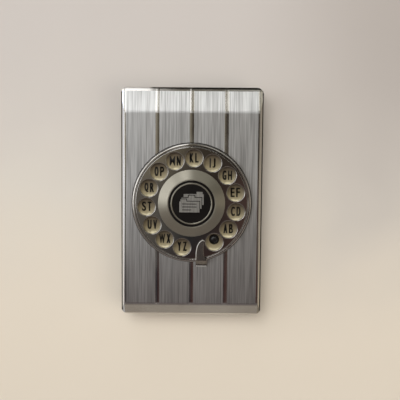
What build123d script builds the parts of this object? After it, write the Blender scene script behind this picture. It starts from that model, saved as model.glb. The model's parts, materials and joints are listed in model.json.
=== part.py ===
from build123d import *
from math import acos, cos, pi, radians, sin, sqrt, tan
import os

# Pop up telephone index: a flat desk index with a finger dial on its sprung lid.
# Millimetres, +Z up, +X to the right, +Y towards the hinge. The origin lies on the desk,
# under the middle of the lid.

# ---- Driving dimensions ----

# Lid cover, one pressed sheet
LID_LENGTH = 181.0
LID_WIDTH = 111.0
LID_TOP = 30.0  # flat top above the desk
SHEET = 1.0
SKIRT_BOTTOM = 12.5
CORNER_RADIUS = 5.5  # in plan
FRONT_ROLL_LENGTH = 9.7  # the sloping front edge, measured back from the front
FRONT_ROLL_DROP = 6.5
FRONT_ROLL_RADIUS = 5.0
FRONT_EDGE_RADIUS = 3.0
REAR_SLOPE_LENGTH = 19.0
REAR_SLOPE_DROP = 4.2
REAR_CREASE_RADIUS = 12.0
REAR_EDGE_RADIUS = 2.5
CHAMFER_WIDTH = 2.5  # along both long sides
CHAMFER_DROP = 3.1
CHAMFER_RADIUS = 1.0

# Polished stripes, sunk between the fine-lined panels
STRIPE_PITCH = 27.0
STRIPE_WIDTH = 3.3
STRIPE_DEPTH = 0.25

# Base tray and feet
FOOT_HEIGHT = 2.0
FOOT_RADIUS = 5.0
FOOT_INSET_X = 8.2  # from the tray's sides
FOOT_INSET_Y = 10.7  # from its ends
TRAY_FLOOR = 2.0
TRAY_WALL = 2.0
TRAY_TOP = 13.6
TRAY_PLAY = 0.3  # all round, inside the lid's skirt
REAR_WALL_TOP = 7.6  # low, because the lid's rear wall swings down behind it
SIDE_WALL_END_INSET = 2.0  # the side walls stand at full height up to here, before the hinge axis
BED_HEIGHT = 1.7
BED_SIDE_GAP = 1.7  # to the tray's walls
BED_FRONT_INSET = 7.0  # from the tabs' front
BED_REAR_INSET = 9.0  # from the hinge axis

# Hinge
HINGE_INSET = 5.0  # from the lid's rear
HINGE_Z = 13.0
ROD_RADIUS = 1.25
RUNNING_FIT = 0.07
SEAT_FIT = 0.03
TRAY_EAR_THICKNESS = 1.6
TRAY_EAR_RADIUS = 2.6
EAR_GAP = 0.3
LID_EAR_THICKNESS = 1.4
LID_EAR_RADIUS = 2.7
LID_EAR_TOP = 24.0
LID_EAR_FLANGE = 4.0
LID_EAR_FLANGE_THICKNESS = 0.8

# Torsion springs on the rod
TORSION_WIRE = 0.6
TORSION_RADIUS = 2.0  # of the wire's centre line
TORSION_PITCH = 1.05
TORSION_TURNS = 4

# Cards and their loops
CARD_NAMES = ["top", "ab", "cd", "ef", "gh", "ij", "kl", "mn", "op", "qr", "st", "uv", "wx", "yz"]
CARD_SIDE_GAP = 2.2  # to the tray's walls
CARD_THICKNESS = 0.3
CARD_PITCH = 0.45
CARD_BED_GAP = 0.3
TAB_FRONT_INSET = 12.0  # from the lid's front
TAB_LENGTH = 4.5
CARD_REAR_INSET = 2.0  # from the hinge axis
CARD_CORNER_WIDTH = 7.0  # cut out of both rear corners, for the springs and ears
CARD_CORNER_LENGTH = 3.0
LOOP_RADIUS = 8.4  # of the wire's centre line, about the hinge axis
LOOP_WIRE = 1.0
LOOP_INSET = 20.0  # from the cards' sides
LOOP_END_ANGLE = 80.0
LOOP_PLAY = 0.3

# Dial
DIAL_Y = 0.5
HOLE_COUNT = 14
BLANK_ANGLE = -59.3  # of the hole without letters
HOLE_STEP = 24.42
HOLE_WEB = 1.4  # left between two holes
HOLE_WALL = 1.65  # left between a hole and the wheel's edge
HOLE_EDGE_RADIUS = 0.5
PLATE_INSET = 0.6  # from the rim
PLATE_THICKNESS = 0.8
RIM_WIDTH = 2.3
RIM_HEIGHT = 3.8
RIM_GAP = 0.4  # round the wheel
WHEEL_RADIUS = 43.6
WHEEL_BOTTOM = 31.7
WHEEL_TOP = 35.2
WHEEL_EDGE_RADIUS = 0.4
HUB_HOLE_GAP = 2.45  # from the hub's foot to the finger holes
HUB_SLOPE_WIDTH = 7.2
HUB_TOP = 38.5
HUB_WALL = 1.2
HUB_LIP = 0.8  # round the disc
DISC_THICKNESS = 0.8
DISC_SINK = 0.5  # below the hub's top edge
DISC_RING_INSET = 1.1
DISC_RING_WIDTH = 0.55
DISC_RING_HEIGHT = 0.15

# Shaft, bushing and gear
SHAFT_RADIUS = 3.0
JOURNAL_RADIUS = 2.0
SHAFT_FLANGE_RADIUS = 7.0
SHAFT_FLANGE_THICKNESS = 1.0
SHAFT_BOTTOM = 21.2
BUSHING_RADIUS = 5.0
BUSHING_FLANGE_RADIUS = 8.0
BUSHING_FLANGE_THICKNESS = 0.5
NUT_WIDTH = 13.0
NUT_THICKNESS = 1.5
CLIP_RADIUS = 3.6
CLIP_THICKNESS = 0.4
PINION_TEETH = 24
PRESSURE_ANGLE = 20.0
BACKLASH = 0.16
GEAR_THICKNESS = 2.3
GEAR_TOP = 27.2

# Selector slide and the carrier plate that it runs on
CARRIER_BOTTOM = 22.0
CARRIER_THICKNESS = 1.0
CARRIER_SIDE_GAP = 2.1  # to the lid's walls
CARRIER_FRONT = 22.0  # from the dial's middle
CARRIER_REAR = 13.0
SLIDE_PLAY = 0.2
SLIDE_THICKNESS = 1.2
RACK_TOOTH_COUNT = 25
RACK_HOME_PITCHES = 2  # of the rack left of the dial's middle at rest
RACK_SIDE_GAP = 3.92  # from the rack's end to the lid's wall at rest
RACK_WIDTH = 6.6  # from the rack's back to its pitch line
SELECTOR_HOME_X = 24.0
ARM_WIDTH = 6.0
HOOK_WIDTH = 2.4
HOOK_THICKNESS = 1.2
HOOK_CARD_GAP = 2.0  # between the hook's upright and the tabs
HOOK_REACH = 3.0  # under the tabs
TOE_THICKNESS = 0.8
TOE_CARD_GAP = 0.4
TAB_MARGIN = 1.5  # a tab passes the middle of its hook place by this much
PIN_RADIUS = 1.1
PIN_HEAD_RADIUS = 2.0
PIN_HEAD_THICKNESS = 0.6
PIN_INSET = 2.2  # from either end of the slide
STANDOFF_RADIUS = 2.2
STANDOFF_SIDE_INSET = 4.4
STANDOFF_INSET = 3.5  # from the carrier's front and rear edges
SCREW_RADIUS = 1.0
SCREW_HEAD_RADIUS = 1.9
SCREW_HEAD_HEIGHT = 1.3
SCREW_LENGTH = 5.0

# Press bar and latch
BAR_SIDE_GAP = 4.2  # to the tray's side walls
BAR_BOTTOM = 5.0
BAR_TOP = 11.5
BAR_PROUD = 1.1  # of the tray's front wall
BAR_TRAVEL = 2.5
BAR_PLAY = 0.4
BAR_FLANGE_THICKNESS = 1.0
BAR_FLANGE_GAP = 0.3  # to the tray's front wall, which stops the bar
BAR_FLANGE_END_LAP = 0.9
BAR_FLANGE_EDGE_LAP = 0.3
LATCH_INSET = 2.5  # from the bar's ends
LATCH_WIDTH = 3.0
LATCH_THICKNESS = 1.5
LATCH_TOP = 16.5
LATCH_NOSE_HEIGHT = 1.2
LATCH_FOOT_Z = 8.0
CATCH_WIDTH = 4.0
CATCH_THICKNESS = 0.8
CATCH_TOP = 20.0
CATCH_BOTTOM = 14.0
CATCH_LIP_THICKNESS = 1.0
CATCH_REACH = 1.5
LATCH_GAP = 0.3
PRESS_SPRING_INSET = 7.5  # from the latches
PRESS_SPRING_Z = 8.3
PRESS_SPRING_RADIUS = 1.75
PRESS_SPRING_WIRE = 0.5
PRESS_SPRING_TURNS = 4
PRESS_SPRING_CLOSED_LENGTH = 2.9
SPRING_SEAT_WIDTH = 8.0
SPRING_SEAT_THICKNESS = 1.0
SPRING_SEAT_TOP = 11.0

# Finger stop, a bent strip: places are measured from the dial's middle
STOP_THICKNESS = 1.2
STOP_CLEARANCE = 0.55  # above the wheel
STOP_RIM_GAP = 0.6  # to the rim, all the way up
STOP_FOOT_LENGTH = 3.4
STOP_EDGE_CHAMFER = 0.3
# the claw's two edges in plan: distances right of the dial's middle and in from the wheel's edge
STOP_LEFT_EDGE = [(3.6, -0.6), (3.5, 3.6), (4.3, 9.4), (6.0, 13.3), (8.1, 15.0)]
STOP_TIP = (9.4, 15.3)
STOP_RIGHT_EDGE = [(10.6, 14.4), (9.8, 11.6), (9.5, 6.6), (10.2, 2.0), (12.4, -0.6)]
RIVET_RADIUS = 0.9
RIVET_HEAD_RADIUS = 1.5
RIVET_HEAD_HEIGHT = 0.8
RIVET_SPACING = 5.0

# ---- Sizes that follow from them ----

HALF_LENGTH = LID_LENGTH / 2
HALF_WIDTH = LID_WIDTH / 2
LID_CEILING = LID_TOP - SHEET
LID_REAR_INNER_Y = HALF_LENGTH - SHEET
HINGE_Y = HALF_LENGTH - HINGE_INSET
TRAY_HALF_WIDTH = HALF_WIDTH - SHEET - TRAY_PLAY
TRAY_HALF_LENGTH = HALF_LENGTH - SHEET - TRAY_PLAY
TRAY_FLOOR_TOP = FOOT_HEIGHT + TRAY_FLOOR
BED_TOP = TRAY_FLOOR_TOP + BED_HEIGHT
FRONT_WALL_Y = -TRAY_HALF_LENGTH  # outer face
FRONT_WALL_INNER_Y = FRONT_WALL_Y + TRAY_WALL
REAR_WALL_INNER_Y = TRAY_HALF_LENGTH - TRAY_WALL
TRAY_INNER_X = TRAY_HALF_WIDTH - TRAY_WALL
TRAY_INNER_RADIUS = CORNER_RADIUS - SHEET - TRAY_PLAY - TRAY_WALL
TRAY_EAR_X = TRAY_INNER_X - TRAY_EAR_THICKNESS
LID_EAR_OUTER_X = TRAY_EAR_X - EAR_GAP
LID_EAR_X = LID_EAR_OUTER_X - LID_EAR_THICKNESS
TORSION_END_X = LID_EAR_X - EAR_GAP - TORSION_WIRE / 2

TAB_FRONT_Y = -HALF_LENGTH + TAB_FRONT_INSET
CARD_FRONT_Y = TAB_FRONT_Y + TAB_LENGTH  # where a card is cut back beside its tab
CARD_HALF_WIDTH = TRAY_INNER_X - CARD_SIDE_GAP
LOOP_X = CARD_HALF_WIDTH - LOOP_INSET
BED_FRONT_Y = TAB_FRONT_Y + BED_FRONT_INSET
BED_REAR_Y = HINGE_Y - BED_REAR_INSET
BED_WIDTH = 2 * (TRAY_INNER_X - BED_SIDE_GAP)

RIM_INNER_RADIUS = WHEEL_RADIUS + RIM_GAP
RIM_OUTER_RADIUS = RIM_INNER_RADIUS + RIM_WIDTH
PLATE_RADIUS = RIM_INNER_RADIUS - PLATE_INSET
# the holes fill the wheel's width, less their webs and the wall outside them
hole_share = sin(radians(HOLE_STEP / 2))
HOLE_PITCH_RADIUS = (WHEEL_RADIUS - HOLE_WALL + HOLE_WEB / 2) / (1 + hole_share)
HOLE_RADIUS = HOLE_PITCH_RADIUS * hole_share - HOLE_WEB / 2
HUB_FOOT_RADIUS = HOLE_PITCH_RADIUS - HOLE_RADIUS - HUB_HOLE_GAP
HUB_TOP_RADIUS = HUB_FOOT_RADIUS - HUB_SLOPE_WIDTH
DISC_RADIUS = HUB_TOP_RADIUS - HUB_LIP
DISC_RING_RADIUS = DISC_RADIUS - DISC_RING_INSET
STOP_FOOT_LEFT_X = STOP_LEFT_EDGE[0][0]
STOP_FOOT_RIGHT_X = STOP_RIGHT_EDGE[-1][0]
STOP_FOOT_REAR_Y = DIAL_Y - RIM_OUTER_RADIUS - STOP_RIM_GAP
STOP_FOOT_FRONT_Y = STOP_FOOT_REAR_Y - STOP_FOOT_LENGTH
STOP_RISE_REAR_Y = DIAL_Y - WHEEL_RADIUS - STOP_RIM_GAP
PLATE_TOP = LID_TOP + PLATE_THICKNESS
DISC_BOTTOM = HUB_TOP - DISC_SINK - DISC_THICKNESS
RACK_END_X = HALF_WIDTH - SHEET - RACK_SIDE_GAP
TOOTH_PITCH = RACK_END_X / (RACK_TOOTH_COUNT - RACK_HOME_PITCHES)
MODULE = TOOTH_PITCH / pi
PITCH_RADIUS = MODULE * PINION_TEETH / 2
ADDENDUM = MODULE
DEDENDUM = 1.25 * MODULE
GEAR_BOTTOM = GEAR_TOP - GEAR_THICKNESS
RACK_PITCH_Y = DIAL_Y - PITCH_RADIUS
HOOK_STEP = PITCH_RADIUS * radians(HOLE_STEP)
DIAL_TURN = HOLE_STEP * (HOLE_COUNT - 1)
SELECTOR_TRAVEL = PITCH_RADIUS * radians(DIAL_TURN)

CARRIER_TOP = CARRIER_BOTTOM + CARRIER_THICKNESS
CARRIER_WIDTH = 2 * (HALF_WIDTH - SHEET - CARRIER_SIDE_GAP)
CARRIER_FRONT_Y = DIAL_Y - CARRIER_FRONT
CARRIER_REAR_Y = DIAL_Y + CARRIER_REAR
STANDOFF_X = CARRIER_WIDTH / 2 - STANDOFF_SIDE_INSET
SLIDE_BOTTOM = CARRIER_TOP + SLIDE_PLAY
SLIDE_TOP = SLIDE_BOTTOM + SLIDE_THICKNESS
RACK_BACK_Y = RACK_PITCH_Y - RACK_WIDTH
RACK_START_X = -RACK_HOME_PITCHES * TOOTH_PITCH
PIN_Y = RACK_BACK_Y + RACK_WIDTH / 2 - ADDENDUM
HOOK_REAR_Y = TAB_FRONT_Y - HOOK_CARD_GAP
HOOK_FRONT_Y = HOOK_REAR_Y - HOOK_THICKNESS
CARD_REAR_Y = HINGE_Y - CARD_REAR_INSET
LOWEST_CARD_Z = BED_TOP + CARD_BED_GAP
TOE_TOP = LOWEST_CARD_Z - TOE_CARD_GAP
TOE_BOTTOM = TOE_TOP - TOE_THICKNESS

BAR_LENGTH = 2 * (TRAY_INNER_X - BAR_SIDE_GAP)
LATCH_X = BAR_LENGTH / 2 - LATCH_INSET
PRESS_SPRING_X = LATCH_X - PRESS_SPRING_INSET
BAR_FLANGE_Y = FRONT_WALL_INNER_Y + BAR_FLANGE_GAP
BAR_REAR_Y = BAR_FLANGE_Y + BAR_FLANGE_THICKNESS
LATCH_REAR_Y = BAR_REAR_Y + LATCH_THICKNESS
CATCH_Y = -LID_REAR_INNER_Y
LATCH_NOSE_Y = CATCH_Y + CATCH_REACH + LATCH_GAP
PRESS_SPRING_LENGTH = PRESS_SPRING_CLOSED_LENGTH + BAR_TRAVEL
SPRING_SEAT_Y = BAR_REAR_Y + PRESS_SPRING_LENGTH

lid_profile = [
    (-HALF_LENGTH, LID_TOP - FRONT_ROLL_DROP),
    (-HALF_LENGTH + FRONT_ROLL_LENGTH, LID_TOP),
    (HALF_LENGTH - REAR_SLOPE_LENGTH, LID_TOP),
    (HALF_LENGTH, LID_TOP - REAR_SLOPE_DROP),
]
lid_profile_radii = [FRONT_EDGE_RADIUS, FRONT_ROLL_RADIUS, REAR_CREASE_RADIUS, REAR_EDGE_RADIUS]


def save(builder, name):
    """Label the finished piece and write its STEP file."""
    builder.part.label = name
    export_step(builder.part, f"parts/{name}.step")


def lid_form(inset, bottom):
    """The space inside the lid's outer surface, drawn in evenly, down to a flat bottom."""
    low = bottom - inset
    with BuildPart() as form:
        with BuildSketch(Plane.YZ) as side:
            with BuildLine():
                FilletPolyline(
                    (-HALF_LENGTH, low),
                    *lid_profile,
                    (HALF_LENGTH, low),
                    radius=lid_profile_radii,
                )
                Line((HALF_LENGTH, low), (-HALF_LENGTH, low))
            make_face()
            if inset:
                offset(amount=-inset)
        extrude(amount=HALF_WIDTH, both=True)
        with BuildSketch(Plane.XZ) as end:
            with BuildLine():
                FilletPolyline(
                    (-HALF_WIDTH, low),
                    (-HALF_WIDTH, LID_TOP - CHAMFER_DROP),
                    (-HALF_WIDTH + CHAMFER_WIDTH, LID_TOP),
                    (HALF_WIDTH - CHAMFER_WIDTH, LID_TOP),
                    (HALF_WIDTH, LID_TOP - CHAMFER_DROP),
                    (HALF_WIDTH, low),
                    radius=CHAMFER_RADIUS,
                )
                Line((HALF_WIDTH, low), (-HALF_WIDTH, low))
            make_face()
            if inset:
                offset(amount=-inset)
        extrude(amount=HALF_LENGTH, both=True, mode=Mode.INTERSECT)
        with BuildSketch(Plane.XY.offset(low)) as plan:
            RectangleRounded(LID_WIDTH - 2 * inset, LID_LENGTH - 2 * inset, CORNER_RADIUS - inset)
        extrude(amount=LID_TOP - low, mode=Mode.INTERSECT)
    return form.part


def gear_half_angle(radius):
    """Half the angle that an involute tooth fills at this radius."""
    base_radius = PITCH_RADIUS * cos(radians(PRESSURE_ANGLE))
    roll = acos(base_radius / max(radius, base_radius))
    involute = tan(roll) - roll
    pitch_roll = radians(PRESSURE_ANGLE)
    pitch_involute = tan(pitch_roll) - pitch_roll
    pitch_half_angle = (TOOTH_PITCH - BACKLASH) / 4 / PITCH_RADIUS
    return pitch_half_angle + pitch_involute - involute


def coil_stations(place, radius, pitch, quarter_turns):
    """Points and directions of a coil at each quarter turn, about the plane's normal.

    The two ends run square to the axis, so that straight legs can follow them.
    """
    stations = []
    for quarter in range(quarter_turns + 1):
        angle = quarter * pi / 2
        rise = 0 if quarter in (0, quarter_turns) else pitch / (2 * pi)
        point = Vector(radius * cos(angle), radius * sin(angle), pitch * quarter / 4)
        direction = Vector(-radius * sin(angle), radius * cos(angle), rise).normalized()
        ahead = place.from_local_coords(point + direction)
        point = place.from_local_coords(point)
        stations.append((point, ahead - point))
    return stations


def coil_arcs(stations):
    """Join the stations, inside a BuildLine, by two tangent arcs for each quarter turn."""
    for (start, leave), (end, arrive) in zip(stations, stations[1:]):
        chord = end - start
        both = leave + arrive
        spread = 4 - both.dot(both)
        along = chord.dot(both)
        reach = (sqrt(along * along + spread * chord.dot(chord)) - along) / spread
        first = start + leave * reach
        second = end - arrive * reach
        middle = (first + second) * 0.5
        TangentArc(start, middle, tangent=leave)
        TangentArc(middle, end, tangent=second - first)


def hook_x(place):
    """Where the selector stands for a card, counted down from the top card."""
    return SELECTOR_HOME_X - place * HOOK_STEP


os.makedirs("parts", exist_ok=True)

# ---- Base ----

# the floor is a plate of its own that fits inside the walls
with BuildPart() as tray_floor:
    with BuildSketch(Plane.XY.offset(FOOT_HEIGHT)):
        RectangleRounded(2 * TRAY_INNER_X, 2 * REAR_WALL_INNER_Y, TRAY_INNER_RADIUS)
    extrude(amount=TRAY_FLOOR)
save(tray_floor, "tray_floor")

with BuildPart() as tray_walls:
    with BuildSketch(Plane.XY.offset(FOOT_HEIGHT)):
        RectangleRounded(2 * TRAY_HALF_WIDTH, 2 * TRAY_HALF_LENGTH, TRAY_INNER_RADIUS + TRAY_WALL)
        RectangleRounded(
            2 * TRAY_INNER_X, 2 * REAR_WALL_INNER_Y, TRAY_INNER_RADIUS, mode=Mode.SUBTRACT
        )
    extrude(amount=TRAY_TOP - FOOT_HEIGHT)
    # the walls drop at the rear, where the lid's rear wall swings down
    rear_cut_y = HINGE_Y - SIDE_WALL_END_INSET
    with BuildSketch(Plane.XY.offset(REAR_WALL_TOP)):
        with Locations((0, (rear_cut_y + HALF_LENGTH) / 2)):
            Rectangle(LID_WIDTH, HALF_LENGTH - rear_cut_y)
    extrude(amount=TRAY_TOP - REAR_WALL_TOP, mode=Mode.SUBTRACT)
    # ears that hold the rod
    for side in (-1, 1):
        with BuildSketch(Plane.YZ.offset(side * (TRAY_EAR_X + TRAY_EAR_THICKNESS / 2))):
            with Locations((HINGE_Y, HINGE_Z)):
                Circle(TRAY_EAR_RADIUS)
            with Locations((HINGE_Y - TRAY_EAR_RADIUS / 2, (HINGE_Z + TRAY_FLOOR_TOP) / 2)):
                Rectangle(TRAY_EAR_RADIUS, HINGE_Z - TRAY_FLOOR_TOP)
        extrude(amount=TRAY_EAR_THICKNESS / 2, both=True)
    with BuildSketch(Plane.YZ):
        with Locations((HINGE_Y, HINGE_Z)):
            Circle(ROD_RADIUS + SEAT_FIT)
    extrude(amount=TRAY_INNER_X, both=True, mode=Mode.SUBTRACT)
    # slot for the press bar
    with BuildSketch(Plane.XZ.offset(-FRONT_WALL_INNER_Y)):
        with Locations((0, (BAR_BOTTOM + BAR_TOP) / 2)):
            Rectangle(BAR_LENGTH + 2 * BAR_PLAY, BAR_TOP - BAR_BOTTOM + 2 * BAR_PLAY)
    extrude(amount=2 * TRAY_WALL, mode=Mode.SUBTRACT)
save(tray_walls, "tray_walls")

# two seats on the floor, behind the press bar's springs
with BuildPart() as press_spring_seats:
    with BuildSketch(Plane.XY.offset(TRAY_FLOOR_TOP)):
        with Locations(
            (-PRESS_SPRING_X, SPRING_SEAT_Y + SPRING_SEAT_THICKNESS / 2),
            (PRESS_SPRING_X, SPRING_SEAT_Y + SPRING_SEAT_THICKNESS / 2),
        ):
            Rectangle(SPRING_SEAT_WIDTH, SPRING_SEAT_THICKNESS)
    extrude(amount=SPRING_SEAT_TOP - TRAY_FLOOR_TOP)
save(press_spring_seats, "press_spring_seats")

with BuildPart() as card_bed:
    with BuildSketch(Plane.XY.offset(TRAY_FLOOR_TOP)):
        with Locations((0, (BED_FRONT_Y + BED_REAR_Y) / 2)):
            Rectangle(BED_WIDTH, BED_REAR_Y - BED_FRONT_Y)
    extrude(amount=BED_HEIGHT)
save(card_bed, "card_bed")

foot_places = {
    "foot_front_left": (-1, -1),
    "foot_front_right": (1, -1),
    "foot_rear_left": (-1, 1),
    "foot_rear_right": (1, 1),
}
for name, (side, end) in foot_places.items():
    with BuildPart() as foot:
        with BuildSketch():
            foot_x = side * (TRAY_HALF_WIDTH - FOOT_INSET_X)
            foot_y = end * (TRAY_HALF_LENGTH - FOOT_INSET_Y)
            with Locations((foot_x, foot_y)):
                Circle(FOOT_RADIUS)
        extrude(amount=FOOT_HEIGHT)
        fillet(foot.edges().group_by(Axis.Z)[0], FOOT_HEIGHT / 4)
    save(foot, name)

with BuildPart() as hinge_rod:
    with BuildSketch(Plane.YZ):
        with Locations((HINGE_Y, HINGE_Z)):
            Circle(ROD_RADIUS)
    extrude(amount=TRAY_INNER_X, both=True)
save(hinge_rod, "hinge_rod")

for name, side in (("torsion_spring_left", -1), ("torsion_spring_right", 1)):
    # drawn on the left, where the wire comes up from the tray's floor, winds outwards
    # and ends just short of the ear's flange; the right spring is its mirror image
    quarter_turns = 4 * TORSION_TURNS + 1
    coil_start = (TORSION_PITCH * quarter_turns / 4 - TORSION_END_X, HINGE_Y, HINGE_Z)
    place = Plane(coil_start, x_dir=(0, -1, 0), z_dir=(-1, 0, 0))
    stations = [
        (Vector(-side * point.X, point.Y, point.Z), Vector(-side * way.X, way.Y, way.Z))
        for point, way in coil_stations(place, TORSION_RADIUS, TORSION_PITCH, quarter_turns)
    ]
    first, last = stations[0][0], stations[-1][0]
    with BuildPart() as torsion_spring:
        with BuildLine() as wire:
            Line((first.X, first.Y, TRAY_FLOOR_TOP), first)
            coil_arcs(stations)
            Line(last, (last.X, LID_REAR_INNER_Y - LID_EAR_FLANGE_THICKNESS - EAR_GAP, last.Z))
        with BuildSketch(Plane((first.X, first.Y, TRAY_FLOOR_TOP), z_dir=(0, 0, 1))):
            Circle(TORSION_WIRE / 2)
        sweep(path=wire.line)
    save(torsion_spring, name)

for name, side in (("card_loop_left", -1), ("card_loop_right", 1)):
    with BuildPart() as card_loop:
        with BuildLine(Plane.YZ.offset(side * LOOP_X)) as wire:
            Line((REAR_WALL_INNER_Y, HINGE_Z - LOOP_RADIUS), (HINGE_Y, HINGE_Z - LOOP_RADIUS))
            CenterArc((HINGE_Y, HINGE_Z), LOOP_RADIUS, 270, LOOP_END_ANGLE - 270)
        with BuildSketch(Plane(wire.line @ 0, z_dir=wire.line % 0)):
            Circle(LOOP_WIRE / 2)
        sweep(path=wire.line)
    save(card_loop, name)

# ---- Press bar ----

with BuildPart() as press_bar:
    bar_middle_z = (BAR_BOTTOM + BAR_TOP) / 2
    bar_height = BAR_TOP - BAR_BOTTOM
    with BuildSketch(Plane.XZ.offset(-BAR_FLANGE_Y)):
        with Locations((0, bar_middle_z)):
            Rectangle(BAR_LENGTH, bar_height)
    extrude(amount=BAR_FLANGE_Y - FRONT_WALL_Y + BAR_PROUD)
    fillet(press_bar.edges().group_by(Axis.Y)[0], BAR_PROUD / 2)
    with BuildSketch(Plane.XZ.offset(-BAR_REAR_Y)):
        with Locations((0, bar_middle_z)):
            Rectangle(
                BAR_LENGTH + 2 * (BAR_PLAY + BAR_FLANGE_END_LAP),
                bar_height + 2 * (BAR_PLAY + BAR_FLANGE_EDGE_LAP),
            )
    extrude(amount=BAR_FLANGE_THICKNESS)
save(press_bar, "press_bar")

for name, side in (("latch_hook_left", -1), ("latch_hook_right", 1)):
    with BuildPart() as latch_hook:
        with BuildSketch(Plane.YZ.offset(side * LATCH_X)):
            with BuildLine():
                Polyline(
                    (BAR_REAR_Y, LATCH_FOOT_Z),
                    (LATCH_REAR_Y, LATCH_FOOT_Z),
                    (LATCH_REAR_Y, LATCH_TOP),
                    (BAR_REAR_Y, LATCH_TOP),
                    (LATCH_NOSE_Y, LATCH_TOP - LATCH_NOSE_HEIGHT / 2),
                    (LATCH_NOSE_Y, LATCH_TOP - LATCH_NOSE_HEIGHT),
                    (BAR_REAR_Y, LATCH_TOP - LATCH_NOSE_HEIGHT),
                    close=True,
                )
            make_face()
        extrude(amount=LATCH_WIDTH / 2, both=True)
    save(latch_hook, name)

for name, side in (("press_spring_left", -1), ("press_spring_right", 1)):
    coil_length = PRESS_SPRING_LENGTH - 2 * SEAT_FIT - PRESS_SPRING_WIRE
    coil_start = (
        side * PRESS_SPRING_X,
        BAR_REAR_Y + SEAT_FIT + PRESS_SPRING_WIRE / 2,
        PRESS_SPRING_Z,
    )
    place = Plane(coil_start, x_dir=(1, 0, 0), z_dir=(0, 1, 0))
    stations = coil_stations(
        place, PRESS_SPRING_RADIUS, coil_length / PRESS_SPRING_TURNS, 4 * PRESS_SPRING_TURNS
    )
    with BuildPart() as press_spring:
        with BuildLine() as wire:
            coil_arcs(stations)
        with BuildSketch(Plane(stations[0][0], z_dir=stations[0][1])):
            Circle(PRESS_SPRING_WIRE / 2)
        sweep(path=wire.line)
    save(press_spring, name)

# ---- Lid ----

with BuildPart() as stripe_grooves:
    add(lid_form(0, SKIRT_BOTTOM))
    add(lid_form(STRIPE_DEPTH, SKIRT_BOTTOM), mode=Mode.SUBTRACT)
    stripe_front_y = -HALF_LENGTH + FRONT_ROLL_LENGTH
    with BuildSketch(Plane.XY.offset(LID_TOP - REAR_SLOPE_DROP - REAR_EDGE_RADIUS)):
        with Locations((0, (stripe_front_y + HALF_LENGTH) / 2)):
            with Locations((-STRIPE_PITCH, 0), (0, 0), (STRIPE_PITCH, 0)):
                Rectangle(STRIPE_WIDTH, HALF_LENGTH - stripe_front_y)
    extrude(amount=REAR_SLOPE_DROP + REAR_EDGE_RADIUS, mode=Mode.INTERSECT)

with BuildPart() as lid_cover:
    add(lid_form(0, SKIRT_BOTTOM))
    add(stripe_grooves.part, mode=Mode.SUBTRACT)
    add(lid_form(SHEET, SKIRT_BOTTOM), mode=Mode.SUBTRACT)
    # hole for the bushing, and the finger stop's rivet holes
    with BuildSketch(Plane.XY.offset(LID_CEILING - SHEET)):
        with Locations((0, DIAL_Y)):
            Circle(BUSHING_RADIUS + SEAT_FIT)
        stop_middle_x = (STOP_FOOT_LEFT_X + STOP_FOOT_RIGHT_X) / 2
        stop_middle_y = (STOP_FOOT_FRONT_Y + STOP_FOOT_REAR_Y) / 2
        with Locations((stop_middle_x, stop_middle_y)):
            with Locations((-RIVET_SPACING / 2, 0), (RIVET_SPACING / 2, 0)):
                Circle(RIVET_RADIUS + SEAT_FIT)
    extrude(amount=3 * SHEET, mode=Mode.SUBTRACT)
save(lid_cover, "lid_cover")

for name, side in (("lid_ear_left", -1), ("lid_ear_right", 1)):
    ear_rear_y = LID_REAR_INNER_Y - LID_EAR_FLANGE_THICKNESS / 2
    ear_bottom = HINGE_Z + LID_EAR_RADIUS
    with BuildPart() as lid_ear:
        with BuildSketch(Plane.YZ.offset(side * (LID_EAR_X + LID_EAR_THICKNESS / 2))):
            with Locations((HINGE_Y, HINGE_Z)):
                Circle(LID_EAR_RADIUS)
            with BuildLine():
                Polyline(
                    (HINGE_Y - LID_EAR_RADIUS, HINGE_Z),
                    (HINGE_Y + LID_EAR_RADIUS, HINGE_Z),
                    (ear_rear_y, ear_bottom),
                    (ear_rear_y, LID_EAR_TOP),
                    (HINGE_Y - LID_EAR_RADIUS, LID_EAR_TOP),
                    close=True,
                )
            make_face()
            with Locations((HINGE_Y, HINGE_Z)):
                Circle(ROD_RADIUS + RUNNING_FIT, mode=Mode.SUBTRACT)
        extrude(amount=LID_EAR_THICKNESS / 2, both=True)
        with BuildSketch(Plane.XY.offset(ear_bottom)):
            with Locations(
                (
                    side * (LID_EAR_X + LID_EAR_THICKNESS / 2 - LID_EAR_FLANGE / 2),
                    LID_REAR_INNER_Y - LID_EAR_FLANGE_THICKNESS / 2,
                )
            ):
                Rectangle(LID_EAR_FLANGE, LID_EAR_FLANGE_THICKNESS)
        extrude(amount=LID_EAR_TOP - ear_bottom)
    save(lid_ear, name)

for name, side in (("lid_catch_left", -1), ("lid_catch_right", 1)):
    with BuildPart() as lid_catch:
        with BuildSketch(Plane.YZ.offset(side * LATCH_X)):
            with BuildLine():
                Polyline(
                    (CATCH_Y, CATCH_BOTTOM),
                    (CATCH_Y + CATCH_REACH, CATCH_BOTTOM),
                    (CATCH_Y + CATCH_REACH, CATCH_BOTTOM + CATCH_LIP_THICKNESS),
                    (CATCH_Y + CATCH_THICKNESS, CATCH_BOTTOM + CATCH_LIP_THICKNESS),
                    (CATCH_Y + CATCH_THICKNESS, CATCH_TOP),
                    (CATCH_Y, CATCH_TOP),
                    close=True,
                )
            make_face()
        extrude(amount=CATCH_WIDTH / 2, both=True)
    save(lid_catch, name)

# ---- Dial, the pieces fixed to the lid ----

with BuildPart() as number_plate:
    with BuildSketch(Plane.XY.offset(LID_TOP)):
        with Locations((0, DIAL_Y)):
            Circle(PLATE_RADIUS)
            Circle(BUSHING_RADIUS + SEAT_FIT, mode=Mode.SUBTRACT)
    extrude(amount=PLATE_THICKNESS)
save(number_plate, "number_plate")

dial_plane = Plane((0, DIAL_Y, 0), x_dir=(1, 0, 0), z_dir=(0, -1, 0))
dial_axis = Axis((0, DIAL_Y, 0), (0, 0, 1))

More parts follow.
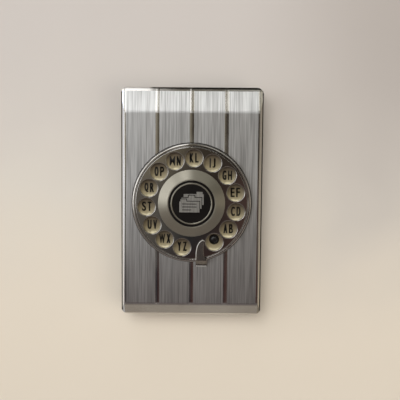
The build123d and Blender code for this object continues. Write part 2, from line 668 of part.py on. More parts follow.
with BuildPart() as dial_rim:
    rim_width = RIM_OUTER_RADIUS - RIM_INNER_RADIUS
    with BuildSketch(dial_plane):
        with BuildLine():
            FilletPolyline(
                (RIM_INNER_RADIUS, LID_TOP),
                (RIM_INNER_RADIUS, LID_TOP + RIM_HEIGHT),
                (RIM_OUTER_RADIUS, LID_TOP + RIM_HEIGHT),
                (RIM_OUTER_RADIUS, LID_TOP),
                radius=[rim_width / 4, rim_width / 2],
            )
            Line((RIM_OUTER_RADIUS, LID_TOP), (RIM_INNER_RADIUS, LID_TOP))
        make_face()
    revolve(axis=dial_axis)
save(dial_rim, "dial_rim")

with BuildPart() as shaft_bushing:
    flange_top = PLATE_TOP + BUSHING_FLANGE_THICKNESS
    with BuildSketch(Plane.XY.offset(PLATE_TOP)):
        with Locations((0, DIAL_Y)):
            Circle(BUSHING_FLANGE_RADIUS)
    extrude(amount=BUSHING_FLANGE_THICKNESS)
    with BuildSketch(Plane.XY.offset(LID_CEILING - NUT_THICKNESS)):
        with Locations((0, DIAL_Y)):
            Circle(BUSHING_RADIUS)
    extrude(amount=PLATE_TOP - LID_CEILING + NUT_THICKNESS)
    with BuildSketch(Plane.XY.offset(LID_CEILING - NUT_THICKNESS)):
        with Locations((0, DIAL_Y)):
            Circle(SHAFT_RADIUS + RUNNING_FIT)
    extrude(amount=flange_top - LID_CEILING + NUT_THICKNESS, mode=Mode.SUBTRACT)
save(shaft_bushing, "shaft_bushing")

with BuildPart() as bushing_nut:
    with BuildSketch(Plane.XY.offset(LID_CEILING - NUT_THICKNESS)):
        with Locations((0, DIAL_Y)):
            RegularPolygon(NUT_WIDTH / 2, 6, major_radius=False)
            Circle(BUSHING_RADIUS + SEAT_FIT, mode=Mode.SUBTRACT)
    extrude(amount=NUT_THICKNESS)
save(bushing_nut, "bushing_nut")

with BuildPart() as finger_stop:
    arm_bottom = WHEEL_TOP + STOP_CLEARANCE
    arm_top = arm_bottom + STOP_THICKNESS
    foot_top = LID_TOP + STOP_THICKNESS
    rise = arm_bottom - LID_TOP
    arm_end_y = DIAL_Y - WHEEL_RADIUS + STOP_TIP[1] + STOP_THICKNESS
    with BuildSketch(Plane.YZ):
        with BuildLine():
            Polyline(
                (STOP_FOOT_FRONT_Y, LID_TOP),
                (STOP_FOOT_REAR_Y, LID_TOP),
                (STOP_FOOT_REAR_Y, LID_TOP + RIM_HEIGHT),
                (STOP_RISE_REAR_Y, arm_bottom),
                (arm_end_y, arm_bottom),
                (arm_end_y, arm_top),
                (STOP_RISE_REAR_Y - STOP_THICKNESS / 2, arm_top),
                (STOP_FOOT_REAR_Y - STOP_THICKNESS, LID_TOP + RIM_HEIGHT),
                (STOP_FOOT_REAR_Y - STOP_THICKNESS, foot_top),
                (STOP_FOOT_FRONT_Y, foot_top),
                close=True,
            )
        make_face()
    extrude(amount=STOP_FOOT_RIGHT_X)
    # the claw's outline, with a rounded tip, on a square foot
    with BuildSketch(Plane((0, DIAL_Y - WHEEL_RADIUS, LID_TOP))):
        foot_front = STOP_FOOT_FRONT_Y - DIAL_Y + WHEEL_RADIUS
        with BuildLine():
            Spline(*STOP_LEFT_EDGE)
            ThreePointArc(STOP_LEFT_EDGE[-1], STOP_TIP, STOP_RIGHT_EDGE[0])
            Spline(*STOP_RIGHT_EDGE)
            Polyline(
                STOP_RIGHT_EDGE[-1],
                (STOP_FOOT_RIGHT_X, foot_front),
                (STOP_FOOT_LEFT_X, foot_front),
                STOP_LEFT_EDGE[0],
            )
        make_face()
    extrude(amount=rise + STOP_THICKNESS, mode=Mode.INTERSECT)
    top_edges = finger_stop.faces().sort_by(Axis.Z)[-1].edges()
    chamfer(top_edges.sort_by(Axis.Y)[1:], STOP_EDGE_CHAMFER)
save(finger_stop, "finger_stop")

with BuildPart() as finger_stop_rivets:
    with BuildSketch(Plane.XY.offset(LID_CEILING)):
        with Locations((stop_middle_x, stop_middle_y)):
            with Locations((-RIVET_SPACING / 2, 0), (RIVET_SPACING / 2, 0)):
                Circle(RIVET_RADIUS)
    extrude(amount=SHEET)
    with BuildSketch(Plane.XY.offset(LID_CEILING - RIVET_HEAD_HEIGHT)):
        with Locations((stop_middle_x, stop_middle_y)):
            with Locations((-RIVET_SPACING / 2, 0), (RIVET_SPACING / 2, 0)):
                Circle(RIVET_HEAD_RADIUS)
    extrude(amount=RIVET_HEAD_HEIGHT)
save(finger_stop_rivets, "finger_stop_rivets")

# ---- Dial, the pieces that turn ----

with BuildPart() as finger_wheel:
    with BuildSketch(dial_plane) as section:
        with BuildLine():
            Polyline(
                (SHAFT_RADIUS + SEAT_FIT, WHEEL_BOTTOM),
                (WHEEL_RADIUS, WHEEL_BOTTOM),
                (WHEEL_RADIUS, WHEEL_TOP),
                (SHAFT_RADIUS + SEAT_FIT, WHEEL_TOP),
                close=True,
            )
        make_face()
        outer_corners = section.vertices().sort_by(Axis.X)[-2:]
        fillet(outer_corners.sort_by(Axis.Y)[-1], WHEEL_EDGE_RADIUS)
    revolve(axis=dial_axis)
    with BuildSketch(Plane.XY.offset(WHEEL_BOTTOM)):
        with Locations((0, DIAL_Y)):
            with PolarLocations(
                HOLE_PITCH_RADIUS,
                HOLE_COUNT,
                start_angle=BLANK_ANGLE,
                angular_range=DIAL_TURN,
                endpoint=True,
            ):
                Circle(HOLE_RADIUS)
    extrude(amount=WHEEL_TOP - WHEEL_BOTTOM, mode=Mode.SUBTRACT)
    hole_edges = finger_wheel.edges().filter_by(GeomType.CIRCLE)
    hole_edges = hole_edges.filter_by(lambda edge: abs(edge.radius - HOLE_RADIUS) < SEAT_FIT)
    fillet(hole_edges.group_by(Axis.Z)[-1], HOLE_EDGE_RADIUS)
save(finger_wheel, "finger_wheel")

with BuildPart() as hub_ring:
    with BuildSketch(dial_plane):
        with BuildLine():
            Polyline(
                (HUB_FOOT_RADIUS - HUB_WALL, WHEEL_TOP),
                (HUB_FOOT_RADIUS, WHEEL_TOP),
                (HUB_TOP_RADIUS, HUB_TOP),
                (DISC_RADIUS + SEAT_FIT, HUB_TOP),
                (DISC_RADIUS + SEAT_FIT, DISC_BOTTOM),
                (DISC_RADIUS - HUB_WALL, DISC_BOTTOM),
                (DISC_RADIUS - HUB_WALL, DISC_BOTTOM - DISC_THICKNESS),
                close=True,
            )
        make_face()
    revolve(axis=dial_axis)
save(hub_ring, "hub_ring")

with BuildPart() as centre_disc:
    with BuildSketch(Plane.XY.offset(DISC_BOTTOM)):
        with Locations((0, DIAL_Y)):
            Circle(DISC_RADIUS)
    extrude(amount=DISC_THICKNESS)
save(centre_disc, "centre_disc")

with BuildPart() as disc_ring:
    with BuildSketch(Plane.XY.offset(DISC_BOTTOM + DISC_THICKNESS)):
        with Locations((0, DIAL_Y)):
            Circle(DISC_RING_RADIUS)
            Circle(DISC_RING_RADIUS - DISC_RING_WIDTH, mode=Mode.SUBTRACT)
    extrude(amount=DISC_RING_HEIGHT)
save(disc_ring, "disc_ring")

with BuildPart() as dial_shaft:
    with BuildSketch(dial_plane):
        with BuildLine():
            Polyline(
                (0, SHAFT_BOTTOM),
                (JOURNAL_RADIUS, SHAFT_BOTTOM),
                (JOURNAL_RADIUS, SLIDE_TOP),
                (SHAFT_RADIUS, SLIDE_TOP),
                (SHAFT_RADIUS, WHEEL_TOP),
                (SHAFT_FLANGE_RADIUS, WHEEL_TOP),
                (SHAFT_FLANGE_RADIUS, WHEEL_TOP + SHAFT_FLANGE_THICKNESS),
                (0, WHEEL_TOP + SHAFT_FLANGE_THICKNESS),
                close=True,
            )
        make_face()
    revolve(axis=dial_axis)
save(dial_shaft, "dial_shaft")

with BuildPart() as pinion:
    flank_radii = [PITCH_RADIUS - DEDENDUM + step * (ADDENDUM + DEDENDUM) / 4 for step in range(5)]
    outline = []
    for tooth in range(PINION_TEETH):
        middle = 2 * pi * tooth / PINION_TEETH
        rising = [(r, middle - gear_half_angle(r)) for r in flank_radii]
        falling = [(r, middle + gear_half_angle(r)) for r in reversed(flank_radii)]
        outline += rising + falling
    with BuildSketch(Plane.XY.offset(GEAR_BOTTOM)):
        with Locations((0, DIAL_Y)):
            with BuildLine():
                Polyline(*[(r * cos(a), DIAL_Y + r * sin(a)) for r, a in outline], close=True)
            make_face()
            Circle(SHAFT_RADIUS + SEAT_FIT, mode=Mode.SUBTRACT)
    extrude(amount=GEAR_THICKNESS)
save(pinion, "pinion")

with BuildPart() as retaining_clip:
    with BuildSketch(Plane.XY.offset(CARRIER_BOTTOM - SEAT_FIT - CLIP_THICKNESS)):
        with Locations((0, DIAL_Y)):
            Circle(CLIP_RADIUS)
            Circle(JOURNAL_RADIUS + SEAT_FIT, mode=Mode.SUBTRACT)
    extrude(amount=CLIP_THICKNESS)
save(retaining_clip, "retaining_clip")

# ---- Selector ----

pin_places = [RACK_START_X + PIN_INSET, RACK_END_X - PIN_INSET]
standoff_places = [
    (side * STANDOFF_X, y)
    for side in (-1, 1)
    for y in (CARRIER_FRONT_Y + STANDOFF_INSET, CARRIER_REAR_Y - STANDOFF_INSET)
]

with BuildPart() as carrier_plate:
    with BuildSketch(Plane.XY.offset(CARRIER_BOTTOM)):
        with Locations((0, (CARRIER_FRONT_Y + CARRIER_REAR_Y) / 2)):
            Rectangle(CARRIER_WIDTH, CARRIER_REAR_Y - CARRIER_FRONT_Y)
        with Locations((0, DIAL_Y)):
            Circle(JOURNAL_RADIUS + RUNNING_FIT, mode=Mode.SUBTRACT)
        with Locations(*standoff_places):
            Circle(SCREW_RADIUS + SEAT_FIT, mode=Mode.SUBTRACT)
        with Locations(*[(x - SELECTOR_TRAVEL / 2, PIN_Y) for x in pin_places]):
            SlotCenterToCenter(
                SELECTOR_TRAVEL, 2 * (PIN_RADIUS + RUNNING_FIT), mode=Mode.SUBTRACT
            )
    extrude(amount=CARRIER_THICKNESS)
save(carrier_plate, "carrier_plate")

with BuildPart() as carrier_standoffs:
    with BuildSketch(Plane.XY.offset(CARRIER_TOP)):
        with Locations(*standoff_places):
            Circle(STANDOFF_RADIUS)
    extrude(amount=LID_CEILING - CARRIER_TOP)
    with BuildSketch(Plane.XY.offset(CARRIER_TOP)):
        with Locations(*standoff_places):
            Circle(SCREW_RADIUS + SEAT_FIT)
    extrude(amount=SCREW_LENGTH - CARRIER_THICKNESS, mode=Mode.SUBTRACT)
save(carrier_standoffs, "carrier_standoffs")

with BuildPart() as carrier_screws:
    with BuildSketch(Plane.XY.offset(CARRIER_BOTTOM - SCREW_HEAD_HEIGHT)):
        with Locations(*standoff_places):
            Circle(SCREW_HEAD_RADIUS)
    extrude(amount=SCREW_HEAD_HEIGHT)
    fillet(carrier_screws.edges().group_by(Axis.Z)[0], SCREW_HEAD_HEIGHT / 3)
    with BuildSketch(Plane.XY.offset(CARRIER_BOTTOM)):
        with Locations(*standoff_places):
            Circle(SCREW_RADIUS)
    extrude(amount=SCREW_LENGTH - CARRIER_THICKNESS / 2)
save(carrier_screws, "carrier_screws")

with BuildPart() as selector_slide:
    # the flat plate, with its rack standing on it
    with BuildSketch(Plane.XY.offset(SLIDE_BOTTOM)):
        with Locations(((RACK_START_X + RACK_END_X) / 2, (RACK_BACK_Y + RACK_PITCH_Y) / 2)):
            Rectangle(RACK_END_X - RACK_START_X, RACK_PITCH_Y - RACK_BACK_Y)
    extrude(amount=GEAR_TOP - SLIDE_BOTTOM)
    half_tooth = (TOOTH_PITCH - BACKLASH) / 4
    tip_half = half_tooth - ADDENDUM * tan(radians(PRESSURE_ANGLE))
    root_half = half_tooth + DEDENDUM * tan(radians(PRESSURE_ANGLE))
    root_y = RACK_PITCH_Y - DEDENDUM
    teeth = []
    for tooth in range(RACK_TOOTH_COUNT):
        middle = RACK_START_X + (tooth + 0.5) * TOOTH_PITCH
        teeth.append((middle - root_half, root_y))
        teeth.append((middle - tip_half, RACK_PITCH_Y + ADDENDUM))
        teeth.append((middle + tip_half, RACK_PITCH_Y + ADDENDUM))
        teeth.append((middle + root_half, root_y))
    with BuildSketch(Plane.XY.offset(SLIDE_BOTTOM)):
        with Locations(((RACK_START_X + RACK_END_X) / 2, RACK_PITCH_Y)):
            Rectangle(RACK_END_X - RACK_START_X, 2 * DEDENDUM)
    extrude(amount=GEAR_TOP - SLIDE_BOTTOM, mode=Mode.SUBTRACT)
    with BuildSketch(Plane.XY.offset(SLIDE_BOTTOM)):
        with BuildLine():
            Polyline(
                (RACK_START_X, RACK_BACK_Y),
                (RACK_START_X, root_y),
                *teeth,
                (RACK_END_X, root_y),
                (RACK_END_X, RACK_BACK_Y),
                close=True,
            )
        make_face()
    extrude(amount=GEAR_TOP - SLIDE_BOTTOM)
    # arm to the front, upright and toe
    with BuildSketch(Plane.XY.offset(SLIDE_BOTTOM)):
        with Locations((SELECTOR_HOME_X, (HOOK_FRONT_Y + RACK_BACK_Y) / 2)):
            Rectangle(ARM_WIDTH, RACK_BACK_Y - HOOK_FRONT_Y)
    extrude(amount=SLIDE_THICKNESS)
    with BuildSketch(Plane.YZ.offset(SELECTOR_HOME_X)):
        with BuildLine():
            Polyline(
                (HOOK_FRONT_Y, TOE_BOTTOM),
                (TAB_FRONT_Y + HOOK_REACH, TOE_BOTTOM),
                (TAB_FRONT_Y + HOOK_REACH, TOE_TOP),
                (HOOK_REAR_Y, TOE_TOP),
                (HOOK_REAR_Y, SLIDE_BOTTOM),
                (HOOK_FRONT_Y, SLIDE_BOTTOM),
                close=True,
            )
        make_face()
    extrude(amount=HOOK_WIDTH / 2, both=True)
save(selector_slide, "selector_slide")

with BuildPart() as guide_pins:
    head_bottom = CARRIER_BOTTOM - SLIDE_PLAY - PIN_HEAD_THICKNESS
    with BuildSketch(Plane.XY.offset(head_bottom)):
        with Locations(*[(x, PIN_Y) for x in pin_places]):
            Circle(PIN_HEAD_RADIUS)
    extrude(amount=PIN_HEAD_THICKNESS)
    with BuildSketch(Plane.XY.offset(head_bottom)):
        with Locations(*[(x, PIN_Y) for x in pin_places]):
            Circle(PIN_RADIUS)
    extrude(amount=SLIDE_BOTTOM - head_bottom)
save(guide_pins, "guide_pins")

# ---- Cards ----

for place, letters in enumerate(CARD_NAMES):
    card_z = LOWEST_CARD_Z + (len(CARD_NAMES) - 1 - place) * CARD_PITCH
    # the first letter card's tab serves as the top card's too
    tab_end_x = hook_x(max(place, 1)) + TAB_MARGIN
    corner_x = CARD_HALF_WIDTH - CARD_CORNER_WIDTH
    corner_y = CARD_REAR_Y - CARD_CORNER_LENGTH
    # a loop's wire crosses the card between these distances from the hinge axis
    below = HINGE_Z - card_z
    slot_near = sqrt((LOOP_RADIUS - LOOP_WIRE / 2) ** 2 - below**2) - LOOP_PLAY
    slot_far = sqrt((LOOP_RADIUS + LOOP_WIRE / 2) ** 2 - (below - CARD_THICKNESS) ** 2) + LOOP_PLAY
    with BuildPart() as card:
        with BuildSketch(Plane.XY.offset(card_z)):
            with BuildLine():
                Polyline(
                    (-CARD_HALF_WIDTH, TAB_FRONT_Y),
                    (tab_end_x, TAB_FRONT_Y),
                    (tab_end_x, CARD_FRONT_Y),
                    (CARD_HALF_WIDTH, CARD_FRONT_Y),
                    (CARD_HALF_WIDTH, corner_y),
                    (corner_x, corner_y),
                    (corner_x, CARD_REAR_Y),
                    (-corner_x, CARD_REAR_Y),
                    (-corner_x, corner_y),
                    (-CARD_HALF_WIDTH, corner_y),
                    close=True,
                )
            make_face()
            slot_y = HINGE_Y - (slot_near + slot_far) / 2
            with Locations((-LOOP_X, slot_y), (LOOP_X, slot_y)):
                Rectangle(LOOP_WIRE + 2 * LOOP_PLAY, slot_far - slot_near, mode=Mode.SUBTRACT)
        extrude(amount=CARD_THICKNESS)
    save(card, f"card_{letters}")

wire_gap = TORSION_PITCH - TORSION_WIRE
spring_gap = coil_length / PRESS_SPRING_TURNS - PRESS_SPRING_WIRE
print(f"least gap in a torsion spring {wire_gap:.2f}, in a press bar spring {spring_gap:.2f}")
print(f"selector travel {SELECTOR_TRAVEL:.3f}, dial turn {DIAL_TURN:.2f} degrees")
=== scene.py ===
# %% [markdown]
# A pop up telephone index: a flat box of cards under a silver lid, with a finger dial on top.
# The pieces that carry and move come in as a finished frame, at their real size, in metres.
# This script gives each of them its surface, and adds the thin things that a drawing office
# leaves out: print, paint, rules on paper. It works in millimetres where a hand would.

import json
from math import cos, pi, radians, sin

import bmesh
import bpy
from mathutils import Matrix, Vector


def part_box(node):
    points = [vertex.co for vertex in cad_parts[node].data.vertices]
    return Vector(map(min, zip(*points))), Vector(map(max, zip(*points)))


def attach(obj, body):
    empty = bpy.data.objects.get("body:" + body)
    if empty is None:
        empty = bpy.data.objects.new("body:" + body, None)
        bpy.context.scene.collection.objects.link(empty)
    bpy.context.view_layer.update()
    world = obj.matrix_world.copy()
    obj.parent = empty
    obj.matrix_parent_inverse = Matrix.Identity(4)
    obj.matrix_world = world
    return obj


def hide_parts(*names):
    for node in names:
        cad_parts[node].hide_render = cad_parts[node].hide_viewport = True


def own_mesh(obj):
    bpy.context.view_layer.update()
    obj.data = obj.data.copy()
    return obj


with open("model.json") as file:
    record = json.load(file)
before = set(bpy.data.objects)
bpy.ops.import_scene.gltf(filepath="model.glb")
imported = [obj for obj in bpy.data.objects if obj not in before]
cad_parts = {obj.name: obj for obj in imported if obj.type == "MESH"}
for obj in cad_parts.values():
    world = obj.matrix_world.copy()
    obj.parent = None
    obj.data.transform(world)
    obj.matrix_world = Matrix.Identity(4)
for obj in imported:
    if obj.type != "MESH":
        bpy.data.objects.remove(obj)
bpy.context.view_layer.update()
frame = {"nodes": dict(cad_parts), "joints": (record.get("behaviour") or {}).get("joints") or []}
MM = 0.001

# %% [markdown]
# Places that several pieces share are read from the frame once, so that the print and the
# patterns stay on the pieces that carry them.

# %% Shared places
JOINTS = {joint["name"]: joint for joint in frame["joints"]}
DIAL_CENTRE = Vector((*JOINTS["dial_turn"]["pos_m"][:2], 0))
LID_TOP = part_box("number_plate")[0][2]
PLATE_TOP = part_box("number_plate")[1][2]
DISC_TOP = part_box("centre_disc")[1][2]
LETTER_PAIRS = ["AB", "CD", "EF", "GH", "IJ", "KL", "MN", "OP", "QR", "ST", "UV", "WX", "YZ"]
print("lid top", round(LID_TOP / MM, 2), "dial centre", [round(v / MM, 2) for v in DIAL_CENTRE])

# %% [markdown]
# Colours are written as they look on a screen, so each hex value is turned to linear light
# before a shader takes it. Every node is added by one function. Where a node is given as the
# input of another, its first live output is linked, so a chain reads like a sum.

# %% Colour and node helpers
SMOOTH = {"interpolation_type": "SMOOTHSTEP"}  # a Map Range that eases in and out
TONES = {"data_type": "RGBA"}  # a Mix of two colours


def ink(hex_colour):
    """A linear colour with full alpha, from an sRGB hex value."""
    channels = [int(hex_colour[place : place + 2], 16) / 255 for place in (1, 3, 5)]
    linear = [c / 12.92 if c <= 0.04045 else ((c + 0.055) / 1.055) ** 2.4 for c in channels]
    return (*linear, 1.0)


def feed(made, inputs):
    """Give a node its inputs, by name or in order.

    An input is a plain value, a hex colour, an output socket or another node.
    """
    named = inputs if isinstance(inputs, dict) else dict(enumerate(inputs))
    for name, value in named.items():
        if isinstance(value, bpy.types.Node):
            value = next(socket for socket in value.outputs if socket.enabled)
        if isinstance(value, bpy.types.NodeSocket):
            made.id_data.links.new(value, made.inputs[name])
        else:
            made.inputs[name].default_value = ink(value) if isinstance(value, str) else value


def node(tree, kind, inputs=(), stops=(), **settings):
    """Add one node with its settings, its colour stops and its inputs, and return it."""
    made = tree.nodes.new("ShaderNode" + kind)
    for name, value in settings.items():
        setattr(made, name, value)
    while stops and len(made.color_ramp.elements) < len(stops):
        made.color_ramp.elements.new(0.5)
    for place, (position, colour) in enumerate(stops):
        made.color_ramp.elements[place].position = position
        made.color_ramp.elements[place].color = ink(colour)
    feed(made, inputs)
    return made


def new_finish(name):
    """An empty material with its shader and output joined, and the tree it lives in."""
    finish = bpy.data.materials.new(name)
    finish.use_nodes = True
    tree = finish.node_tree
    tree.nodes.clear()
    shader = node(tree, "BsdfPrincipled")
    node(tree, "OutputMaterial", {"Surface": shader})
    return finish, tree, shader


def place_on_object(tree, centre=(0, 0, 0), scale=(1, 1, 1)):
    """Object coordinates about a centre, stretched by a scale."""
    coordinates = node(tree, "TexCoord").outputs["Object"]
    shifted = node(tree, "VectorMath", (coordinates, centre), operation="SUBTRACT")
    return node(tree, "VectorMath", (shifted, scale), operation="MULTIPLY")


def wear(finish, *names):
    """Give a finish to the frame's pieces of these names."""
    for name in names:
        piece = frame["nodes"][name]
        piece.data.materials.clear()
        piece.data.materials.append(finish)
    print(finish.name, "is on", ", ".join(names))


print("mid grey in linear light is", round(ink("#808080")[0], 3))


# %% [markdown]
# The photograph looks almost straight down from about half a metre, a little from the hinge
# side, so the far end of the lid looks slightly larger than the near one. The camera is set
# from a point on the lid's top, a distance and those two small angles.

# %% Camera
VIEW_DISTANCE = 500 * MM
VIEW_TILT = 5.3  # degrees from straight above, towards the hinge
VIEW_ROLL = 0.5
VIEW_WIDTH = 313.6 * MM  # what the picture spans at the lid's top
LOOK_AT = Vector((6.55 * MM, 2.7 * MM, LID_TOP))

camera_data = bpy.data.cameras.new("camera")
camera_data.sensor_width = 36
camera_data.lens = camera_data.sensor_width * VIEW_DISTANCE / VIEW_WIDTH
camera = bpy.data.objects.new("camera", camera_data)
bpy.context.scene.collection.objects.link(camera)
tilt = Matrix.Rotation(-radians(VIEW_TILT), 4, "X")
roll = Matrix.Rotation(radians(VIEW_ROLL), 4, "Z")
backed_off = Matrix.Translation((0, 0, VIEW_DISTANCE))
camera.matrix_world = Matrix.Translation(LOOK_AT) @ tilt @ roll @ backed_off
bpy.context.scene.camera = camera
bpy.context.scene.view_settings.view_transform = "Standard"
print("lens", round(camera_data.lens, 1), "mm")

# %% [markdown]
# The index lies on pale cloth. Its tone is painted with light and shade: greyer towards the
# hinge, where the cool light from above falls, and cream nearer to the viewer, with patches
# moving the change. Painted shade darkens it on the right towards the hinge. Soft folds a few
# millimetres high bend the light on it.

# %% Floor
FLOOR_SIZE = 7  # metres, so that its edge stays far off in low views
DRIFT_SIZE = 90 * MM
DRIFT_REACH = 0.09  # metres by which the patches move the painted change of light
FOLD_SIZE = 70 * MM
FOLD_HEIGHT = 4 * MM

bpy.ops.mesh.primitive_plane_add(size=FLOOR_SIZE)
floor = bpy.context.object
floor.name = "floor"

cloth, tree, shader = new_finish("pale_cotton_cloth")
spot = place_on_object(tree)
to_right, to_hinge = node(tree, "SeparateXYZ", [spot]).outputs[:2]
patches = node(tree, "TexNoise", {"Vector": spot, "Scale": 1 / DRIFT_SIZE, "Detail": 2})
drift = (patches, DRIFT_REACH, -DRIFT_REACH / 2)
drift = node(tree, "Math", drift, operation="MULTIPLY_ADD")
drifted = node(tree, "Math", (to_hinge, drift), operation="ADD")
near_to_far = node(tree, "MapRange", (drifted, -0.13, 0.15), **SMOOTH)
# painted light: cream near the viewer, greyer towards the hinge
painted_light_tones = [(0.0, "#e3dacb"), (0.5, "#dad5cc"), (1.0, "#cdc8c4")]
cloth_with_painted_light = node(tree, "ValToRGB", [near_to_far], stops=painted_light_tones)
# painted shade on the right, towards the hinge
right_side = node(tree, "MapRange", (to_right, 0.02, 0.17), **SMOOTH)
shaded_far_right = node(tree, "Math", (right_side, near_to_far), operation="MULTIPLY")
cloth_with_painted_light = node(tree, "Mix", {"Factor": shaded_far_right, "A": cloth_with_painted_light, "B": "#b9b3ae"}, **TONES)
folds = node(tree, "TexNoise", {"Vector": spot, "Scale": 1 / FOLD_SIZE, "Detail": 1})
relief = node(tree, "Bump", {"Height": folds, "Distance": FOLD_HEIGHT, "Strength": 0.4})
feed(shader, {"Base Color": cloth_with_painted_light, "Roughness": 0.9, "Normal": relief})
floor.data.materials.append(cloth)
print("floor", FLOOR_SIZE, "m wide")

# %% [markdown]
# Polished metal is only as good as what it mirrors, so the world is painted as a simple room.
# The numbers below are parts of a direction that points outwards from the object: across
# grows to the right, along grows towards the hinge, and up is 1 straight overhead. The
# ceiling is bright on the left, where the window is, and duller on the right.

# %% Room: ceiling
world = bpy.data.worlds.new("room")
bpy.context.scene.world = world
world.use_nodes = True
tree = world.node_tree
tree.nodes.clear()
outwards = node(tree, "TexCoord").outputs["Generated"]
across, along, up = node(tree, "SeparateXYZ", [outwards]).outputs

left_to_right = node(tree, "MapRange", (across, -0.6, 0.6), **SMOOTH)
plaster = [(0.0, "#cccbc9"), (0.42, "#bfbebc"), (0.6, "#9a9894"), (1.0, "#a29b90")]
by_hinge = node(tree, "ValToRGB", [left_to_right], stops=plaster)
plaster = [(0.0, "#ffffff"), (0.16, "#ffffff"), (0.34, "#7f7d79"), (0.6, "#57534e")]
plaster.append((1.0, "#b3ab9b"))
by_viewer = node(tree, "ValToRGB", [left_to_right], stops=plaster)
nearer = node(tree, "MapRange", (along, 0.03, -0.07), **SMOOTH)
ceiling = node(tree, "Mix", {"Factor": nearer, "A": by_hinge, "B": by_viewer}, **TONES)
farther = node(tree, "MapRange", (along, 0.2, 0.42), **SMOOTH)
ceiling = node(tree, "Mix", {"Factor": farther, "A": ceiling, "B": "#fbfbf6"}, **TONES)
print("the ceiling is", len(tree.nodes), "nodes")

# %% [markdown]
# The wall behind the hinge is dark below and in the middle, and pale above on both sides. The
# wall towards the viewer is drab, and darker on its right.

# %% Room: walls
paint = [(0.0, "#5b574c"), (0.4, "#47443a"), (0.74, "#504d43"), (0.86, "#7d786b")]
far_wall = node(tree, "ValToRGB", [up], stops=paint)
aside = node(tree, "Math", (across, 0.01), operation="ADD")
aside = node(tree, "Math", [aside], operation="ABSOLUTE")
high = node(tree, "MapRange", (up, 0.74, 0.82), **SMOOTH)
outer = node(tree, "MapRange", (aside, 0.04, 0.16), **SMOOTH)
low = node(tree, "Math", (1.0, high), operation="SUBTRACT")
central = node(tree, "Math", (1.0, outer), operation="SUBTRACT")
low_or_central = node(tree, "Math", (low, central), operation="MAXIMUM")
behind_hinge = node(tree, "MapRange", (along, 0.12, 0.3), **SMOOTH)
behind_hinge = node(tree, "Math", (behind_hinge, low_or_central), operation="MULTIPLY")
room = node(tree, "Mix", {"Factor": behind_hinge, "A": ceiling, "B": far_wall}, **TONES)

paint = [(0.0, "#aaa196"), (0.3, "#a19a90"), (0.45, "#807876"), (0.85, "#7b7371")]
paint.append((1.0, "#6e6562"))
near_wall = node(tree, "ValToRGB", [up], stops=paint)
above_eye = node(tree, "MapRange", (up, 0.5, 0.7), **SMOOTH)
near_right = node(tree, "Mix", {"Factor": above_eye, "A": near_wall, "B": "#4f4946"}, **TONES)
right_side = node(tree, "MapRange", (across, 0.1, 0.3), **SMOOTH)
near_wall = node(tree, "Mix", {"Factor": right_side, "A": near_wall, "B": near_right}, **TONES)
by_near_wall = node(tree, "MapRange", (along, -0.1, -0.25), **SMOOTH)
room = node(tree, "Mix", {"Factor": by_near_wall, "A": room, "B": near_wall}, **TONES)
print("with its walls the room is", len(tree.nodes), "nodes")

# %% [markdown]
# Overhead is the dark shape of whoever leans over the object, an upright oval. From the lap
# to the head it goes from nearly black and brown to a warm grey on its left. That shape is
# what turns the polished stripes and the dial's wheel dark.

# %% Room: the viewer
OVAL_HALF_WIDTH = 0.18
OVAL_HALF_HEIGHT = 0.23
OVAL_SHIFT = 0.09  # of its middle, towards the viewer
side_part = node(tree, "Math", (across, OVAL_HALF_WIDTH), operation="DIVIDE")
centred = node(tree, "Math", (along, OVAL_SHIFT), operation="ADD")
front_part = node(tree, "Math", (centred, OVAL_HALF_HEIGHT), operation="DIVIDE")
front_part = node(tree, "Math", (front_part, front_part), operation="MULTIPLY")
reach = node(tree, "Math", (side_part, side_part, front_part), operation="MULTIPLY_ADD")
outside = node(tree, "MapRange", (reach, 0.6, 1.3), **SMOOTH)
leaning = node(tree, "Math", (1.0, outside), operation="SUBTRACT")
overhead = node(tree, "MapRange", (up, 0.0, 0.5), **SMOOTH)
leaning = node(tree, "Math", (leaning, overhead), operation="MULTIPLY")

over_viewer = node(tree, "MapRange", (across, -0.08, 0.06))
cloths = {
    "lap": [(0.1, "#2b2d33"), (0.45, "#402929"), (0.9, "#523a35")],
    "chest": [(0.0, "#68645e"), (0.45, "#333436"), (0.8, "#3a302d"), (1.0, "#54433e")],
    "head": [(0.0, "#958c78"), (0.5, "#4d463d"), (0.9, "#3a332c")],
}
lap, chest, head = [
    node(tree, "ValToRGB", [over_viewer], stops=tones) for tones in cloths.values()
]
above_lap = node(tree, "MapRange", (along, -0.21, -0.15), **SMOOTH)
viewer = node(tree, "Mix", {"Factor": above_lap, "A": lap, "B": chest}, **TONES)
above_chest = node(tree, "MapRange", (along, -0.09, -0.01), **SMOOTH)
viewer = node(tree, "Mix", {"Factor": above_chest, "A": viewer, "B": head}, **TONES)
room = node(tree, "Mix", {"Factor": leaning, "A": room, "B": viewer}, **TONES)
print("with the viewer the room is", len(tree.nodes), "nodes")

# %% [markdown]
# The window is a sharp-edged white field at the back on the left. It and the ceiling beyond
# the hinge shine more than white paint would, so the world's strength rises there.

# %% Room: the window
WINDOW_GLOW = 0.5
CEILING_GLOW = 0.6
WINDOW_SIDES = [(along, 0.1, 0.2), (across, -0.42, -0.3), (up, 0.08, 0.18)]
in_window = node(tree, "MapRange", (across, -0.066, -0.069), **SMOOTH)
for side in WINDOW_SIDES:
    inside = node(tree, "MapRange", side, **SMOOTH)
    in_window = node(tree, "Math", (in_window, inside), operation="MULTIPLY")
room = node(tree, "Mix", {"Factor": in_window, "A": room, "B": "#ffffff"}, **TONES)
to_rear = node(tree, "MapRange", (along, 0.25, 0.42), **SMOOTH)
overhead = node(tree, "MapRange", (up, 0.7, 0.84), **SMOOTH)
rear_ceiling = node(tree, "Math", (to_rear, overhead), operation="MULTIPLY")
glow = node(tree, "Math", (rear_ceiling, CEILING_GLOW, 1.0), operation="MULTIPLY_ADD")
strength = node(tree, "Math", (in_window, WINDOW_GLOW, glow), operation="MULTIPLY_ADD")
background = node(tree, "Background", {"Color": room, "Strength": strength})
